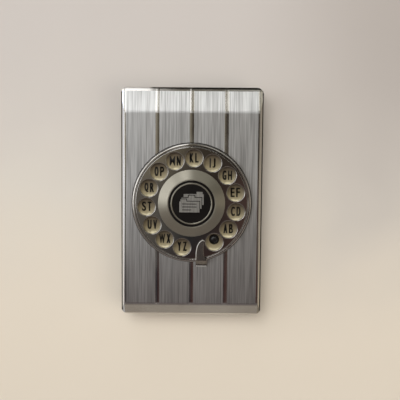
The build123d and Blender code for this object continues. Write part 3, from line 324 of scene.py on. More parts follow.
node(tree, "OutputWorld", {"Surface": background})
print("the whole room is", len(tree.nodes), "nodes")

# %% [markdown]
# The window also lights the scene as a soft lamp from the left, which throws a faint shadow to
# the right. A warmer lamp on the right stands for the light that the room gives back, and one
# overhead for the ceiling.

# %% Lamps
LAMPS = {  # place and size in metres, then watts and colour
    "window": ((-0.95, 0.4, 0.95), 1.0, 4.6, "#fbfcff"),
    "room_fill": ((0.9, -0.3, 1.1), 0.9, 4.5, "#fff6ec"),
    "overhead": ((-0.2, 0.5, 1.3), 0.7, 7.2, "#fffaf4"),
}
for name, (place, size, power, colour) in LAMPS.items():
    lamp_data = bpy.data.lights.new(name, "AREA")
    lamp_data.size = size
    lamp_data.energy = power
    lamp_data.color = ink(colour)[:3]
    lamp = bpy.data.objects.new(name, lamp_data)
    bpy.context.scene.collection.objects.link(lamp)
    lamp.location = place
    lamp.rotation_euler = (LOOK_AT - lamp.location).to_track_quat("-Z", "Y").to_euler()
    lamp.visible_glossy = name == "window"  # the leaning viewer hides the others from the metal
    print(name, "gives", power, "W")

# %% [markdown]
# The lid is a pressed steel sheet, bright nickel or chrome plated. Before plating, its four
# panels were drawn under a wire brush along their length, which leaves fine lines that
# scatter light across the lid, while the stripes between them were left polished. One
# material does both: a mask across the width picks the finish.

# %% Lid: which part is lined and which is polished
STRIPE_PITCH = 27.0 * MM
STRIPE_WIDTH = 3.3 * MM
PANEL_EDGE = 51.4 * MM
REAR_BAND_Y = 87.3 * MM
FRONT_FACET_Y = -80.0 * MM

plated_lid, tree, shader = new_finish("brushed_plated_steel")
spot = place_on_object(tree)
across, along, above = node(tree, "SeparateXYZ", [spot]).outputs
off_centre = node(tree, "Math", [across], operation="ABSOLUTE")
stripe_number = node(tree, "Math", (across, STRIPE_PITCH), operation="DIVIDE")
stripe_number = node(tree, "Math", [stripe_number], operation="ROUND")
stripe_middle = node(tree, "Math", (stripe_number, STRIPE_PITCH), operation="MULTIPLY")
from_stripe = node(tree, "Math", (across, stripe_middle), operation="SUBTRACT")
stripe_distance = node(tree, "Math", [from_stripe], operation="ABSOLUTE")
in_stripe = node(tree, "Math", (stripe_distance, STRIPE_WIDTH / 2), operation="LESS_THAN")
beyond_panel = node(tree, "Math", (off_centre, PANEL_EDGE), operation="GREATER_THAN")
in_rear_band = node(tree, "Math", (along, REAR_BAND_Y), operation="GREATER_THAN")
on_facet = node(tree, "Math", (along, FRONT_FACET_Y), operation="LESS_THAN")
at_edges = node(tree, "Math", (beyond_panel, in_rear_band), operation="MAXIMUM")
polished = node(tree, "Math", (in_stripe, at_edges), operation="MAXIMUM")
unlined = node(tree, "Math", (polished, on_facet), operation="MAXIMUM")
lined = node(tree, "Math", (1.0, unlined), operation="SUBTRACT")
print("panels end at", PANEL_EDGE / MM, "mm, the facet starts at", FRONT_FACET_Y / MM, "mm")

# %% [markdown]
# Brushed lines are long, so their noise is stretched about fifty times along the lid. A
# second, wider noise gives the broad bands in which the brush bit more or less. The polished
# parts only drift a little in tone.

# %% Lid: tones of the lines and of the plating
LINE_PITCH = 0.9 * MM  # the real lines are about 0.4 mm apart, too fine for the picture
BAND_PITCH = 6 * MM
CLOUD_SIZE = 30 * MM

stretched = place_on_object(tree, scale=(1, 0.02, 0.02))
line_noise = {"Vector": stretched, "Scale": 1 / LINE_PITCH, "Detail": 2, "Roughness": 0.6}
lines = node(tree, "TexNoise", line_noise)
stretched = place_on_object(tree, scale=(1, 0.03, 0.03))
bands = node(tree, "TexNoise", {"Vector": stretched, "Scale": 1 / BAND_PITCH, "Detail": 3})
cloudy = node(tree, "TexNoise", {"Vector": spot, "Scale": 1 / CLOUD_SIZE, "Detail": 3})
line_tone = node(tree, "ValToRGB", [lines], stops=[(0.36, "#9b9a99"), (0.64, "#e2e2e1")])
band_tone = node(tree, "ValToRGB", [bands], stops=[(0.35, "#bbbab9"), (0.65, "#cecfcf")])
panel_tone = node(tree, "Mix", {"Factor": 0.4, "A": line_tone, "B": band_tone}, **TONES)
plating_tone = node(tree, "ValToRGB", [cloudy], stops=[(0.35, "#c6c3bf"), (0.65, "#d2d0cc")])
print("lines", LINE_PITCH / MM, "mm apart, in bands of", BAND_PITCH / MM, "mm")

# %% [markdown]
# The plating carries painted light and shade along its bends. The left chamfer is painted bright
# and bluish, as a painted highlight, and the right one darker, as painted shade. Painted shade
# also lies where the sheet turns down, darker on the right and half as strong across the rear
# band, except at the rear left corner, which is painted bright as a highlight.

# %% Lid: painted light and shade along the bends
CHAMFER_X = 53.0 * MM
SIDE_BEND_X = 54.4 * MM
SIDE_BEND_Z = 26.2 * MM  # the side walls get no painted shade below this
REAR_BEND_Y = 89.2 * MM
BEND_Z = 24.5 * MM
HIGHLIGHT_X = -29.5 * MM  # the rear edge is bright up to here

upper = node(tree, "Math", (above, BEND_Z), operation="GREATER_THAN")
on_chamfer = node(tree, "Math", (off_centre, CHAMFER_X), operation="GREATER_THAN")
on_chamfer = node(tree, "Math", (on_chamfer, upper), operation="MULTIPLY")
# painted highlight on the left chamfer, bright and bluish, and painted shade on the right one
shaded_right = node(tree, "Math", (across, 0.0), operation="GREATER_THAN")
sides = {"Factor": shaded_right, "A": "#eef4ff", "B": "#b5b0a6"}
chamfer_painted_light = node(tree, "Mix", sides, **TONES)
chamfered = {"Factor": on_chamfer, "A": plating_tone, "B": chamfer_painted_light}
plating_tone = node(tree, "Mix", chamfered, **TONES)
# painted highlight: the rear band is bright at its left end
highlit_corner = node(tree, "MapRange", (across, HIGHLIGHT_X, HIGHLIGHT_X - 5 * MM), **SMOOTH)
highlit_corner = node(tree, "Math", (highlit_corner, in_rear_band), operation="MULTIPLY")
highlit = {"Factor": highlit_corner, "A": plating_tone, "B": "#d6d3cf"}
plating_tone = node(tree, "Mix", highlit, **TONES)

# painted shade where the sheet turns down, darker on the right, half as strong across the rear
# band
on_side = node(tree, "Math", (off_centre, SIDE_BEND_X), operation="GREATER_THAN")
above_wall = node(tree, "Math", (above, SIDE_BEND_Z), operation="GREATER_THAN")
side_bend = node(tree, "Math", (on_side, above_wall), operation="MULTIPLY")
rear_bend = node(tree, "Math", (along, REAR_BEND_Y), operation="GREATER_THAN")
turned_down = node(tree, "Math", (side_bend, rear_bend), operation="MAXIMUM")
turned_down = node(tree, "Math", (turned_down, upper), operation="MULTIPLY")
half_shaded = node(tree, "Math", (in_rear_band, 0.5), operation="MULTIPLY")
painted_shade = node(tree, "Math", (turned_down, half_shaded), operation="MAXIMUM")
off_corner = node(tree, "Math", (1.0, highlit_corner), operation="SUBTRACT")
painted_shade = node(tree, "Math", (painted_shade, off_corner), operation="MULTIPLY")
sides = {"Factor": shaded_right, "A": "#4b473f", "B": "#25221c"}
edge_shade_tone = node(tree, "Mix", sides, **TONES)
edge_shaded = {"Factor": painted_shade, "A": plating_tone, "B": edge_shade_tone}
plating_tone = node(tree, "Mix", edge_shaded, **TONES)
print("the side edges are brown from", SIDE_BEND_Z / MM, "mm up")

# %% [markdown]
# The lines scatter light across themselves, so the anisotropy's tangent points across the
# lid. The side walls face that way, and a tangent along the normal would turn them black, so
# there the plating is left even. The polished stripes are slightly rounded across, so each
# shows light on its left side.

# %% Lid: sheen and relief
LINED_ROUGHNESS = 0.34
FACET_ROUGHNESS = 0.22
LINED_ANISOTROPY = 0.85
LINE_DEPTH = 0.03 * MM
STRIPE_CROWN = 2.4  # height of a stripe's middle over its edges, in line depths

smudged = node(tree, "MapRange", (cloudy, 0.35, 0.65, 0.07, 0.13))
facet_part = node(tree, "Math", (on_facet, FACET_ROUGHNESS), operation="MULTIPLY")
plain_rough = node(tree, "Math", (smudged, facet_part), operation="MAXIMUM")
lined_part = node(tree, "Math", (lined, LINED_ROUGHNESS), operation="MULTIPLY")
roughness = node(tree, "Math", (plain_rough, lined_part), operation="MAXIMUM")
off_side = node(tree, "Math", (1.0, on_side), operation="SUBTRACT")
anisotropy = node(tree, "Math", (off_side, LINED_ANISOTROPY), operation="MULTIPLY")

part_out = node(tree, "Math", (from_stripe, STRIPE_WIDTH / 2), operation="DIVIDE")
fall = node(tree, "Math", (part_out, part_out), operation="MULTIPLY")
crown = node(tree, "Math", (1.0, fall), operation="SUBTRACT")
crown = node(tree, "Math", (crown, in_stripe), operation="MULTIPLY")
crown = node(tree, "Math", (crown, STRIPE_CROWN), operation="MULTIPLY")
drawn = node(tree, "Math", (lines, lined), operation="MULTIPLY")
height = node(tree, "Math", (drawn, crown), operation="ADD")
relief = node(tree, "Bump", {"Height": height, "Distance": LINE_DEPTH, "Strength": 0.6})
lid_tone = node(tree, "Mix", {"Factor": lined, "A": plating_tone, "B": panel_tone}, **TONES)
feed(shader, {"Base Color": lid_tone, "Metallic": 1.0, "Roughness": roughness, "Normal": relief})
feed(shader, {"Anisotropic": anisotropy, "Tangent": node(tree, "CombineXYZ", [1.0])})
wear(plated_lid, "lid_cover")

# %% [markdown]
# The dial's rim, finger wheel and press bar are turned or bent steel with the brightest
# plating. Polished plating is almost a mirror; what gives it age is a film of fingerprints
# that raises the roughness in clouds, and shallow waves from the buffing wheel.

# %% Bright plating
FINGERPRINT_SIZE = 14 * MM
BUFFING_SIZE = 2.5 * MM
RELIEF_DEPTH = 0.02 * MM  # of most hard finishes here

bright, tree, shader = new_finish("polished_nickel_plate")
spot = place_on_object(tree)
prints = node(tree, "TexNoise", {"Vector": spot, "Scale": 1 / FINGERPRINT_SIZE, "Detail": 4})
waves = node(tree, "TexNoise", {"Vector": spot, "Scale": 1 / BUFFING_SIZE, "Detail": 2})
nickel_tone = node(tree, "ValToRGB", [prints], stops=[(0.3, "#b9b5b0"), (0.7, "#cbc8c3")])
film = node(tree, "MapRange", (prints, 0.35, 0.7, 0.05, 0.1))
relief = node(tree, "Bump", {"Height": waves, "Distance": RELIEF_DEPTH, "Strength": 0.25})
feed(shader, {"Base Color": nickel_tone, "Metallic": 1.0, "Roughness": film, "Normal": relief})
wear(bright, "dial_rim", "finger_wheel", "press_bar")

# %% [markdown]
# The hub is a cone that was spun against emery, so its lines run round it. Lines that run
# round a cone smear each reflection outwards into the fans of light seen on vinyl records.
# The shader's anisotropy does that, with a tangent that turns about the dial's axis.

# %% Spun hub
EMERY_LINE = 0.25 * MM

spun, tree, shader = new_finish("spun_satin_nickel")
spot = place_on_object(tree, centre=tuple(DIAL_CENTRE))
flat = node(tree, "VectorMath", (spot, (1, 1, 0)), operation="MULTIPLY")
radius = node(tree, "VectorMath", [flat], operation="LENGTH")
outwards = node(tree, "CombineXYZ", [radius])
rings = node(tree, "TexNoise", {"Vector": outwards, "Scale": 1 / EMERY_LINE, "Detail": 2})
ring_tone = node(tree, "ValToRGB", [rings], stops=[(0.3, "#a09c8f"), (0.7, "#bcb7a8")])
relief = node(tree, "Bump", {"Height": rings, "Distance": RELIEF_DEPTH, "Strength": 0.5})
around = node(tree, "Tangent", direction_type="RADIAL", axis="Z")
feed(shader, {"Base Color": ring_tone, "Metallic": 1.0, "Roughness": 0.4, "Normal": relief})
feed(shader, {"Anisotropic": 0.7, "Anisotropic Rotation": 0.25, "Tangent": around})
wear(spun, "hub_ring", "disc_ring")

# %% [markdown]
# The number plate is stoved enamel in cream, gone a little yellow. The centre disc is gloss
# black enamel, and the tray has a duller one. Enamel is a plastic-like skin: no metal in the
# shader, a clear highlight, and slow waves from the way it flowed.

# %% Enamels
ENAMEL_WAVE = 1.2 * MM


def enamel(name, low, high, roughness, patch=12 * MM):
    """A paint whose tone drifts between two colours."""
    finish, tree, shader = new_finish(name)
    spot = place_on_object(tree)
    drift = node(tree, "TexNoise", {"Vector": spot, "Scale": 1 / patch, "Detail": 3})
    tone = node(tree, "ValToRGB", [drift], stops=[(0.3, low), (0.7, high)])
    waves = node(tree, "TexNoise", {"Vector": spot, "Scale": 1 / ENAMEL_WAVE, "Detail": 2})
    relief = node(tree, "Bump", {"Height": waves, "Distance": RELIEF_DEPTH, "Strength": 0.3})
    feed(shader, {"Base Color": tone, "Roughness": roughness, "Normal": relief})
    return finish


cream = enamel("cream_stove_enamel", "#b5ab8e", "#c9c0a4", 0.3)
black = enamel("black_gloss_enamel", "#0b0a0a", "#141211", 0.18)
tray_paint = enamel("black_crackle_enamel", "#171514", "#24211f", 0.42, 25 * MM)
wear(cream, "number_plate")
wear(black, "centre_disc")
wear(tray_paint, "tray_walls", "tray_floor", "card_bed")

# %% [markdown]
# Each seat under a finger hole is painted with shade: darker towards its far side, where the
# hole's wall would shade it, with a painted highlight along its near lip. A seat's mesh carries
# an attribute that goes from -1 at the near side to 1 at the far one, and the tone follows it,
# broken up by small patches.

# %% Cream enamel of the seats, with painted shade
SHADE_PATCH = 3 * MM
SHADE_SPREAD = 0.5  # how far the patches move the tones, in parts of a seat's radius

seat_enamel, tree, shader = new_finish("cream_enamel_painted_shade")
spot = place_on_object(tree)
towards_far = node(tree, "Attribute", attribute_name="towards_far").outputs["Fac"]
patches = node(tree, "TexNoise", {"Vector": spot, "Scale": 1 / SHADE_PATCH, "Detail": 3})
shift = (patches, SHADE_SPREAD, -SHADE_SPREAD / 2)
shift = node(tree, "Math", shift, operation="MULTIPLY_ADD")
shifted = node(tree, "Math", (towards_far, shift), operation="ADD")
from_near = node(tree, "Math", (shifted, 0.5, 0.5), operation="MULTIPLY_ADD")
# painted highlight at the near lip, painted shade towards the far side
layers = [(0.02, "#e6ddbb"), (0.14, "#9d9376"), (0.45, "#776d55"), (0.95, "#4f4539")]
seat_shade = node(tree, "ValToRGB", [from_near], stops=layers)
waves = node(tree, "TexNoise", {"Vector": spot, "Scale": 1 / ENAMEL_WAVE, "Detail": 2})
relief = node(tree, "Bump", {"Height": waves, "Distance": RELIEF_DEPTH, "Strength": 0.3})
feed(shader, {"Base Color": seat_shade, "Roughness": 0.3, "Normal": relief})
print(seat_enamel.name, "has", len(layers), "tones from its near lip to its far side")

# %% [markdown]
# The works under the lid are cut from zinc plated sheet, ground rod, spring wire and brass.
# Each shows a fine grain along its length, from rolling, grinding or turning, so they share
# one recipe with their own tones, roughness and grain.

# %% Plain metals


def plain_metal(name, low, high, roughness, grain=0.8 * MM):
    """A sheet or turned metal with a fine drawn grain along Y."""
    finish, tree, shader = new_finish(name)
    drawn = place_on_object(tree, scale=(1, 0.06, 1))
    grains = node(tree, "TexNoise", {"Vector": drawn, "Scale": 1 / grain, "Detail": 3})
    tone = node(tree, "ValToRGB", [grains], stops=[(0.3, low), (0.7, high)])
    relief = node(tree, "Bump", {"Height": grains, "Distance": RELIEF_DEPTH, "Strength": 0.4})
    feed(shader, {"Base Color": tone, "Metallic": 1.0, "Roughness": roughness, "Normal": relief})
    return finish


dark_plate = plain_metal("black_nickel_plate", "#7e7975", "#98938e", 0.27, 1.5 * MM)
# pale metals for the painted highlights on the finger stop's edges
claw_highlight_metal = plain_metal("painted_highlight_nickel", "#dddbd7", "#efede9", 0.4, 1.5 * MM)
lip_highlight_metal = plain_metal("painted_highlight_steel", "#f2f0ec", "#fbfaf7", 0.62, 1.5 * MM)
zinc = plain_metal("zinc_plated_sheet", "#a3a49c", "#c2c2b8", 0.36)
steel = plain_metal("ground_steel", "#8e8d8b", "#b4b3b0", 0.24, 0.4 * MM)
spring = plain_metal("blued_spring_wire", "#4c4d52", "#6d6e74", 0.3, 0.4 * MM)
brass = plain_metal("machined_brass", "#b08d44", "#d1ae62", 0.27, 0.5 * MM)
PAIRED_SHEET = ("lid_ear", "lid_catch", "latch_hook")
wear(zinc, *[name + side for name in PAIRED_SHEET for side in ("_left", "_right")])
wear(zinc, "carrier_plate", "carrier_standoffs", "selector_slide")
wear(zinc, "bushing_nut", "press_spring_seats")
wear(steel, "hinge_rod", "card_loop_left", "card_loop_right", "dial_shaft", "guide_pins")
wear(steel, "carrier_screws", "finger_stop_rivets")
wear(spring, "torsion_spring_left", "torsion_spring_right", "retaining_clip")
wear(spring, "press_spring_left", "press_spring_right")
wear(brass, "shaft_bushing", "pinion")
wear(dark_plate, "finger_stop")

# %% [markdown]
# The four feet are moulded black rubber, dull and slightly grained from the mould.

# %% Rubber feet
BLOOM_PATCH = 3 * MM
MOULD_GRAIN = 0.6 * MM

rubber, tree, shader = new_finish("black_rubber")
spot = place_on_object(tree)
drift = node(tree, "TexNoise", {"Vector": spot, "Scale": 1 / BLOOM_PATCH, "Detail": 3})
rubber_tone = node(tree, "ValToRGB", [drift], stops=[(0.3, "#161616"), (0.7, "#222120")])
grain = node(tree, "TexNoise", {"Vector": spot, "Scale": 1 / MOULD_GRAIN, "Detail": 3})
relief = node(tree, "Bump", {"Height": grain, "Distance": 0.05 * MM, "Strength": 0.5})
feed(shader, {"Base Color": rubber_tone, "Roughness": 0.75, "Normal": relief})
wear(rubber, "foot_front_left", "foot_front_right", "foot_rear_left", "foot_rear_right")

# %% [markdown]
# Each card is cream index stock, ruled by a machine: pale blue lines a quarter inch apart
# and a red line down the left. The rules are part of the paper's material, worked out from
# the card's own coordinates.

# %% Ruled cards
RULE_PITCH = 6.35 * MM
RULE_WIDTH = 0.3 * MM
MARGIN_X = -32 * MM
FIBRE_CLOUD = 8 * MM
PAPER_GRAIN = 0.5 * MM

ruled, tree, shader = new_finish("ruled_index_card")
spot = place_on_object(tree)
across, along = node(tree, "SeparateXYZ", [spot]).outputs[:2]
fibres = node(tree, "TexNoise", {"Vector": spot, "Scale": 1 / FIBRE_CLOUD, "Detail": 5})
stock = node(tree, "ValToRGB", [fibres], stops=[(0.3, "#e2dcc6"), (0.7, "#ece7d5")])
from_rule = node(tree, "Math", (along, RULE_PITCH / 2), operation="PINGPONG")
on_rule = node(tree, "Math", (from_rule, RULE_WIDTH / 2), operation="LESS_THAN")
from_margin = node(tree, "Math", (across, MARGIN_X), operation="SUBTRACT")
from_margin = node(tree, "Math", [from_margin], operation="ABSOLUTE")
on_margin = node(tree, "Math", (from_margin, RULE_WIDTH / 2), operation="LESS_THAN")
paper = node(tree, "Mix", {"Factor": on_rule, "A": stock, "B": "#9fb4c4"}, **TONES)
paper = node(tree, "Mix", {"Factor": on_margin, "A": paper, "B": "#c4887e"}, **TONES)
grain = node(tree, "TexNoise", {"Vector": spot, "Scale": 1 / PAPER_GRAIN, "Detail": 2})
relief = node(tree, "Bump", {"Height": grain, "Distance": RELIEF_DEPTH, "Strength": 0.4})
feed(shader, {"Base Color": paper, "Roughness": 0.7, "Normal": relief})
wear(ruled, "card_top", *["card_" + pair.lower() for pair in LETTER_PAIRS])

# %% [markdown]
# Print is ink a few hundredths of a millimetre thick. It dries to a soft black, a little
# uneven where the plate pressed less.

# %% Printing ink
INK_THICKNESS = 0.04 * MM
PRESSING_PATCH = 2 * MM

printing_ink, tree, shader = new_finish("black_printing_ink")
spot = place_on_object(tree)
pressing = node(tree, "TexNoise", {"Vector": spot, "Scale": 1 / PRESSING_PATCH, "Detail": 3})
ink_tone = node(tree, "ValToRGB", [pressing], stops=[(0.3, "#0f0d0c"), (0.7, "#1d1a17")])
feed(shader, {"Base Color": ink_tone, "Roughness": 0.4})
print(printing_ink.name, "is", INK_THICKNESS / MM, "mm thick")

# %% [markdown]
# The type on the dial is narrower than the built-in face. Each letter is made as text,
# turned to a mesh and squeezed into a width of its own. Squeezing thins its upright
# strokes, so it is struck three times, a little apart, until they have their weight again.

# %% Letters
FACE_STEM = 0.09  # of an upright stroke of the built-in face at size 1
NORMAL_WIDTH = 0.44  # of a letter's height
SPECIAL_WIDTHS = {"I": 0.15, "J": 0.34, "L": 0.38, "M": 0.6, "W": 0.64}
LETTER_GAP = 0.15
STEM = 0.15  # width of an upright stroke, as part of the letter's height
CROWDED_STEMS = {"M": 0.07, "W": 0.12}
STRIKES = (-0.5, 0, 0.5)  # places of one letter's copies, in parts of its missing stroke


def finished(name, shape, body, finish):
    """Turn a bmesh into a piece that wears a finish and rides on a body."""
    mesh = bpy.data.meshes.new(name)
    shape.to_mesh(mesh)
    shape.free()
    mesh.materials.append(finish)
    piece = bpy.data.objects.new(name, mesh)
    bpy.context.scene.collection.objects.link(piece)
    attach(piece, body)
    return piece


def mesh_of(curve, name):
    """The mesh of a text or a curve, which is removed."""
    source = bpy.data.objects.new(name + "_source", curve)
    mesh = bpy.data.meshes.new_from_object(source)
    bpy.data.objects.remove(source)
    return mesh


def printed(name, words, centre, height, body, boldness=0.015):
    """Flat narrow lettering of a given height, centred on a point that it lies on."""
    shape = bmesh.new()
    reached = 0.0
    for letter in words:
        text = bpy.data.curves.new(name, "FONT")
        text.body = letter
        text.extrude = 0.01
        text.offset = boldness
        mesh = mesh_of(text, name)
        corners = [vertex.co for vertex in mesh.vertices]
        low = Vector([min(corner[axis] for corner in corners) for axis in range(3)])
        high = Vector([max(corner[axis] for corner in corners) for axis in range(3)])
        size = high - low
        width = SPECIAL_WIDTHS.get(letter, NORMAL_WIDTH) * height
        stem = CROWDED_STEMS.get(letter, STEM) * height
        drawn_stem = (FACE_STEM + 2 * boldness) * (width - stem / 2) / size.x
        extra = 0.0 if letter == "I" else max(0.0, stem - drawn_stem)
        grow = ((width - extra) / size.x, height / size.y, INK_THICKNESS / size.z)
        for strike in STRIKES if extra else (0,):
            known = len(shape.verts)
            shape.from_mesh(mesh)
            shape.verts.ensure_lookup_table()
            fresh = shape.verts[known:]
            shift = Vector((reached + extra * (0.5 + strike), -height / 2, 0))
            bmesh.ops.translate(shape, vec=-low, verts=fresh)
            bmesh.ops.scale(shape, vec=grow, verts=fresh)
            bmesh.ops.translate(shape, vec=shift, verts=fresh)
        bpy.data.meshes.remove(mesh)
        reached += width + LETTER_GAP * height
    to_middle = Vector(((LETTER_GAP * height - reached) / 2, 0, 0))
    bmesh.ops.translate(shape, vec=to_middle + centre, verts=shape.verts)
    return finished(name, shape, body, printing_ink)


print("letters are", NORMAL_WIDTH, "times as wide as they are high")


# %% [markdown]
# Under each finger hole lies a shallow dished seat of the number plate, so that a fingertip
# finds it. A seat is spun from a half profile: a flat floor that carries the print, which
# rises to a low rounded rim.

# %% Seats under the finger holes
HOLE_PITCH_RADIUS = 35.205 * MM
HOLE_STEP = 24.42  # degrees
BLANK_ANGLE = -59.3
SEAT_RADIUS = 7.0 * MM
SEAT_RISE = 0.6 * MM
SEAT_PROFILE = [
    (0, 0.12 * MM),
    (SEAT_RADIUS * 0.55, 0.12 * MM),
    (SEAT_RADIUS * 0.82, 0.15 * MM),
    (SEAT_RADIUS * 0.88, 0.26 * MM),
    (SEAT_RADIUS * 0.93, 0.52 * MM),
    (SEAT_RADIUS * 0.96, SEAT_RISE),
    (SEAT_RADIUS * 0.985, SEAT_RISE * 0.93),
    (SEAT_RADIUS, SEAT_RISE * 0.6),
    (SEAT_RADIUS, 0.01 * MM),
    (0, 0.01 * MM),
]
WELD = 0.001 * MM  # points closer than this are one


def hole_centre(place, height):
    """Middle of a finger hole at some height; place 0 is the blank one."""
    angle = radians(BLANK_ANGLE + HOLE_STEP * place)
    reach = HOLE_PITCH_RADIUS * Vector((cos(angle), sin(angle), 0))
    return DIAL_CENTRE + reach + Vector((0, 0, height))


def spun_piece(name, profile, centre, body, finish, steps=48):
    """Spin a profile of (radius, height) points about an upright axis into a closed piece.

    Each point also notes how far it lies towards the hinge, from -1 to 1.
    """
    shape = bmesh.new()
    points = [shape.verts.new((radius, 0, height)) for radius, height in profile]
    edges = [shape.edges.new(pair) for pair in zip(points, points[1:])]
    turn = {"cent": (0, 0, 0), "axis": (0, 0, 1), "angle": 2 * pi, "steps": steps}
    bmesh.ops.spin(shape, geom=points + edges, use_merge=True, **turn)
    bmesh.ops.remove_doubles(shape, verts=shape.verts, dist=WELD)
    bmesh.ops.recalc_face_normals(shape, faces=shape.faces)
    note = shape.verts.layers.float.new("towards_far")
    reach = max(radius for radius, height in profile)
    for vertex in shape.verts:
        vertex[note] = vertex.co.y / reach
    bmesh.ops.translate(shape, vec=centre, verts=shape.verts)
    piece = finished(name, shape, body, finish)
    piece.data.shade_smooth()
    return piece


for place, pair in enumerate(["blank", *LETTER_PAIRS]):
    centre = hole_centre(place, PLATE_TOP)
    seat = spun_piece("seat_" + pair.lower(), SEAT_PROFILE, centre, "lid", seat_enamel)
print("seats", place + 1)

# %% [markdown]
# Thirteen seats carry a pair of letters, and the blank one carries a plain black spot, a
# little towards the hinge from its middle.

# %% Print on the seats
LETTER_HEIGHT = 7.3 * MM
PRINT_LIFT = 0.16 * MM
SPOT_RADIUS = 4.0 * MM
SPOT_SHIFT = Vector((-0.1 * MM, 1.5 * MM, 0))

for place, pair in enumerate(LETTER_PAIRS, start=1):
    centre = hole_centre(place, PLATE_TOP + PRINT_LIFT)
    printed("letters_" + pair.lower(), pair, centre, LETTER_HEIGHT, "lid")
spot_profile = [(0, INK_THICKNESS), (SPOT_RADIUS, INK_THICKNESS), (SPOT_RADIUS, 0), (0, 0)]
centre = hole_centre(0, PLATE_TOP + PRINT_LIFT) + SPOT_SHIFT
spun_piece("blank_spot", spot_profile, centre, "lid", black)
print("letters", LETTER_HEIGHT / MM, "mm high")

# %% [markdown]
# The finger stop is black nickel plated. Its left edge and the lip of its foot carry painted
# highlights: a thin round bead along each, in a pale bright metal, a curve with a round bevel,
# turned to a mesh.

# %% Painted highlights on the edges of the finger stop
BEAD_RADIUS = 0.34 * MM
STOP_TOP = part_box("finger_stop")[1][2]
STOP_FRONT_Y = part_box("finger_stop")[0][1]
CLAW_EDGE = [(3.85, -43.4), (3.75, -39.5), (4.5, -33.8), (6.2, -30.1), (8.2, -28.4), (9.4, -28.1)]
CLAW_EDGE.append((10.3, -28.9))
LIP_XS = (3.9, 6.0, 10.0, 12.1)
LIP_HEIGHT = LID_TOP + 1.15 * MM


def bead(name, points, radius, body, finish):
    """A round bead along a smooth curve through some points."""
    curve = bpy.data.curves.new(name, "CURVE")
    curve.dimensions = "3D"
    curve.bevel_depth = radius
    curve.bevel_resolution = 2
    curve.use_fill_caps = True
    line = curve.splines.new("NURBS")
    line.points.add(len(points) - 1)
    for point, place in zip(line.points, points):
        point.co = (*place, 1)
    line.order_u = 3
    line.use_endpoint_u = True
    mesh = mesh_of(curve, name)
    shape = bmesh.new()
    shape.from_mesh(mesh)
    bpy.data.meshes.remove(mesh)
    bmesh.ops.remove_doubles(shape, verts=shape.verts, dist=WELD)
    bmesh.ops.recalc_face_normals(shape, faces=shape.faces)
    return finished(name, shape, body, finish)


claw = [Vector((x * MM, y * MM, STOP_TOP - 0.05 * MM)) for x, y in CLAW_EDGE]
bead("stop_claw_edge", claw, BEAD_RADIUS, "lid", claw_highlight_metal)
lip = [Vector((x * MM, STOP_FRONT_Y + 0.25 * MM, LIP_HEIGHT)) for x in LIP_XS]
bead("stop_foot_lip", lip, BEAD_RADIUS * 1.3, "lid", lip_highlight_metal)
print("beads", round(BEAD_RADIUS / MM, 2), "mm in radius")

# %% [markdown]
# A dark ring of painted shade lies in the corner where the dial's rim meets the lid. It is spun
# as a low fillet. The black disc's silver line is spun too, as a ring with a ridge, and takes the
# place of the flat ring in the frame.

# %% Painted shade at the rim, and the disc's line
RIM_SHADE_HEIGHT = 0.45 * MM
RIM_SHADE_WIDTH = 0.8 * MM
LINE_INNER, LINE_OUTER = 15.1 * MM, 16.2 * MM

# a dark enamel for the painted shade at the rim's foot
rim_shade_paint = enamel("painted_rim_shade", "#0f0d0b", "#1f1b16", 0.6, 5 * MM)
rim_low, rim_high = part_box("dial_rim")
rim_foot = (rim_high[0] - rim_low[0]) / 2 + 0.01 * MM
rim_shade_profile = [
    (rim_foot, 0.01 * MM),
    (rim_foot, RIM_SHADE_HEIGHT),
    (rim_foot + 0.3 * MM, 0.25 * MM),
    (rim_foot + RIM_SHADE_WIDTH, 0.01 * MM),
    (rim_foot, 0.01 * MM),
]
on_lid = DIAL_CENTRE + Vector((0, 0, LID_TOP))
spun_piece("rim_painted_shade", rim_shade_profile, on_lid, "lid", rim_shade_paint, steps=96)

line_profile = [
    (LINE_INNER, 0),
    (LINE_INNER, 0.25 * MM),
    ((LINE_INNER + LINE_OUTER) / 2, 0.4 * MM),
    (LINE_OUTER, 0.25 * MM),
    (LINE_OUTER, 0),
    (LINE_INNER, 0),
]
on_disc = DIAL_CENTRE + Vector((0, 0, DISC_TOP))
disc_line = spun_piece("disc_line", line_profile, on_disc, "dial", spun)
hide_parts("disc_ring")
print("rim foot", round(rim_foot / MM, 2), "mm from the dial's middle")

# %% [markdown]
# The black disc carries a small silver device: three index cards, one behind the other, each
# with a tab, the front one with rules. A card is a flat shape cut from a thin sheet, and a
# black outline parts it from the one behind.

# %% Device on the centre disc
SILVER_THICKNESS = 0.12 * MM
CARD_WIDTH, CARD_HEIGHT = 15.5 * MM, 8.4 * MM
TAB_WIDTH, TAB_HEIGHT = 4.6 * MM, 1.7 * MM
OUTLINE_GAP = 0.55 * MM
RULE_GAP = 2.3 * MM
HALF_RULE = 0.3 * MM
RULE_START, RULE_ENDS = -0.36, (0.1, 0.36, 0.36)  # from a card's middle, in its widths
DEVICE_CARDS = {  # middle and the tab's place on it, in mm, from the rear card to the front one
    "device_card_a": (1.6, 3.3, 4.6),
    "device_card_b": (0, 0.4, 0),
    "device_card_c": (-1.6, -2.5, -4.6),
}
silver = plain_metal("foiled_silver", "#9b9994", "#bdbbb5", 0.45, 0.6 * MM)


def flat_shape(name, corners, lift, thickness, finish):
    """A thin flat plate on the dial, with its corners given from the dial's middle."""
    shape = bmesh.new()
    face = shape.faces.new([shape.verts.new((x, y, 0)) for x, y in corners])
    pushed = bmesh.ops.extrude_face_region(shape, geom=[face])
    raised = [item for item in pushed["geom"] if isinstance(item, bmesh.types.BMVert)]
    bmesh.ops.translate(shape, vec=(0, 0, thickness), verts=raised)
    bmesh.ops.recalc_face_normals(shape, faces=shape.faces)
    bmesh.ops.translate(shape, vec=DIAL_CENTRE + Vector((0, 0, lift)), verts=shape.verts)
    return finished(name, shape, "dial", finish)


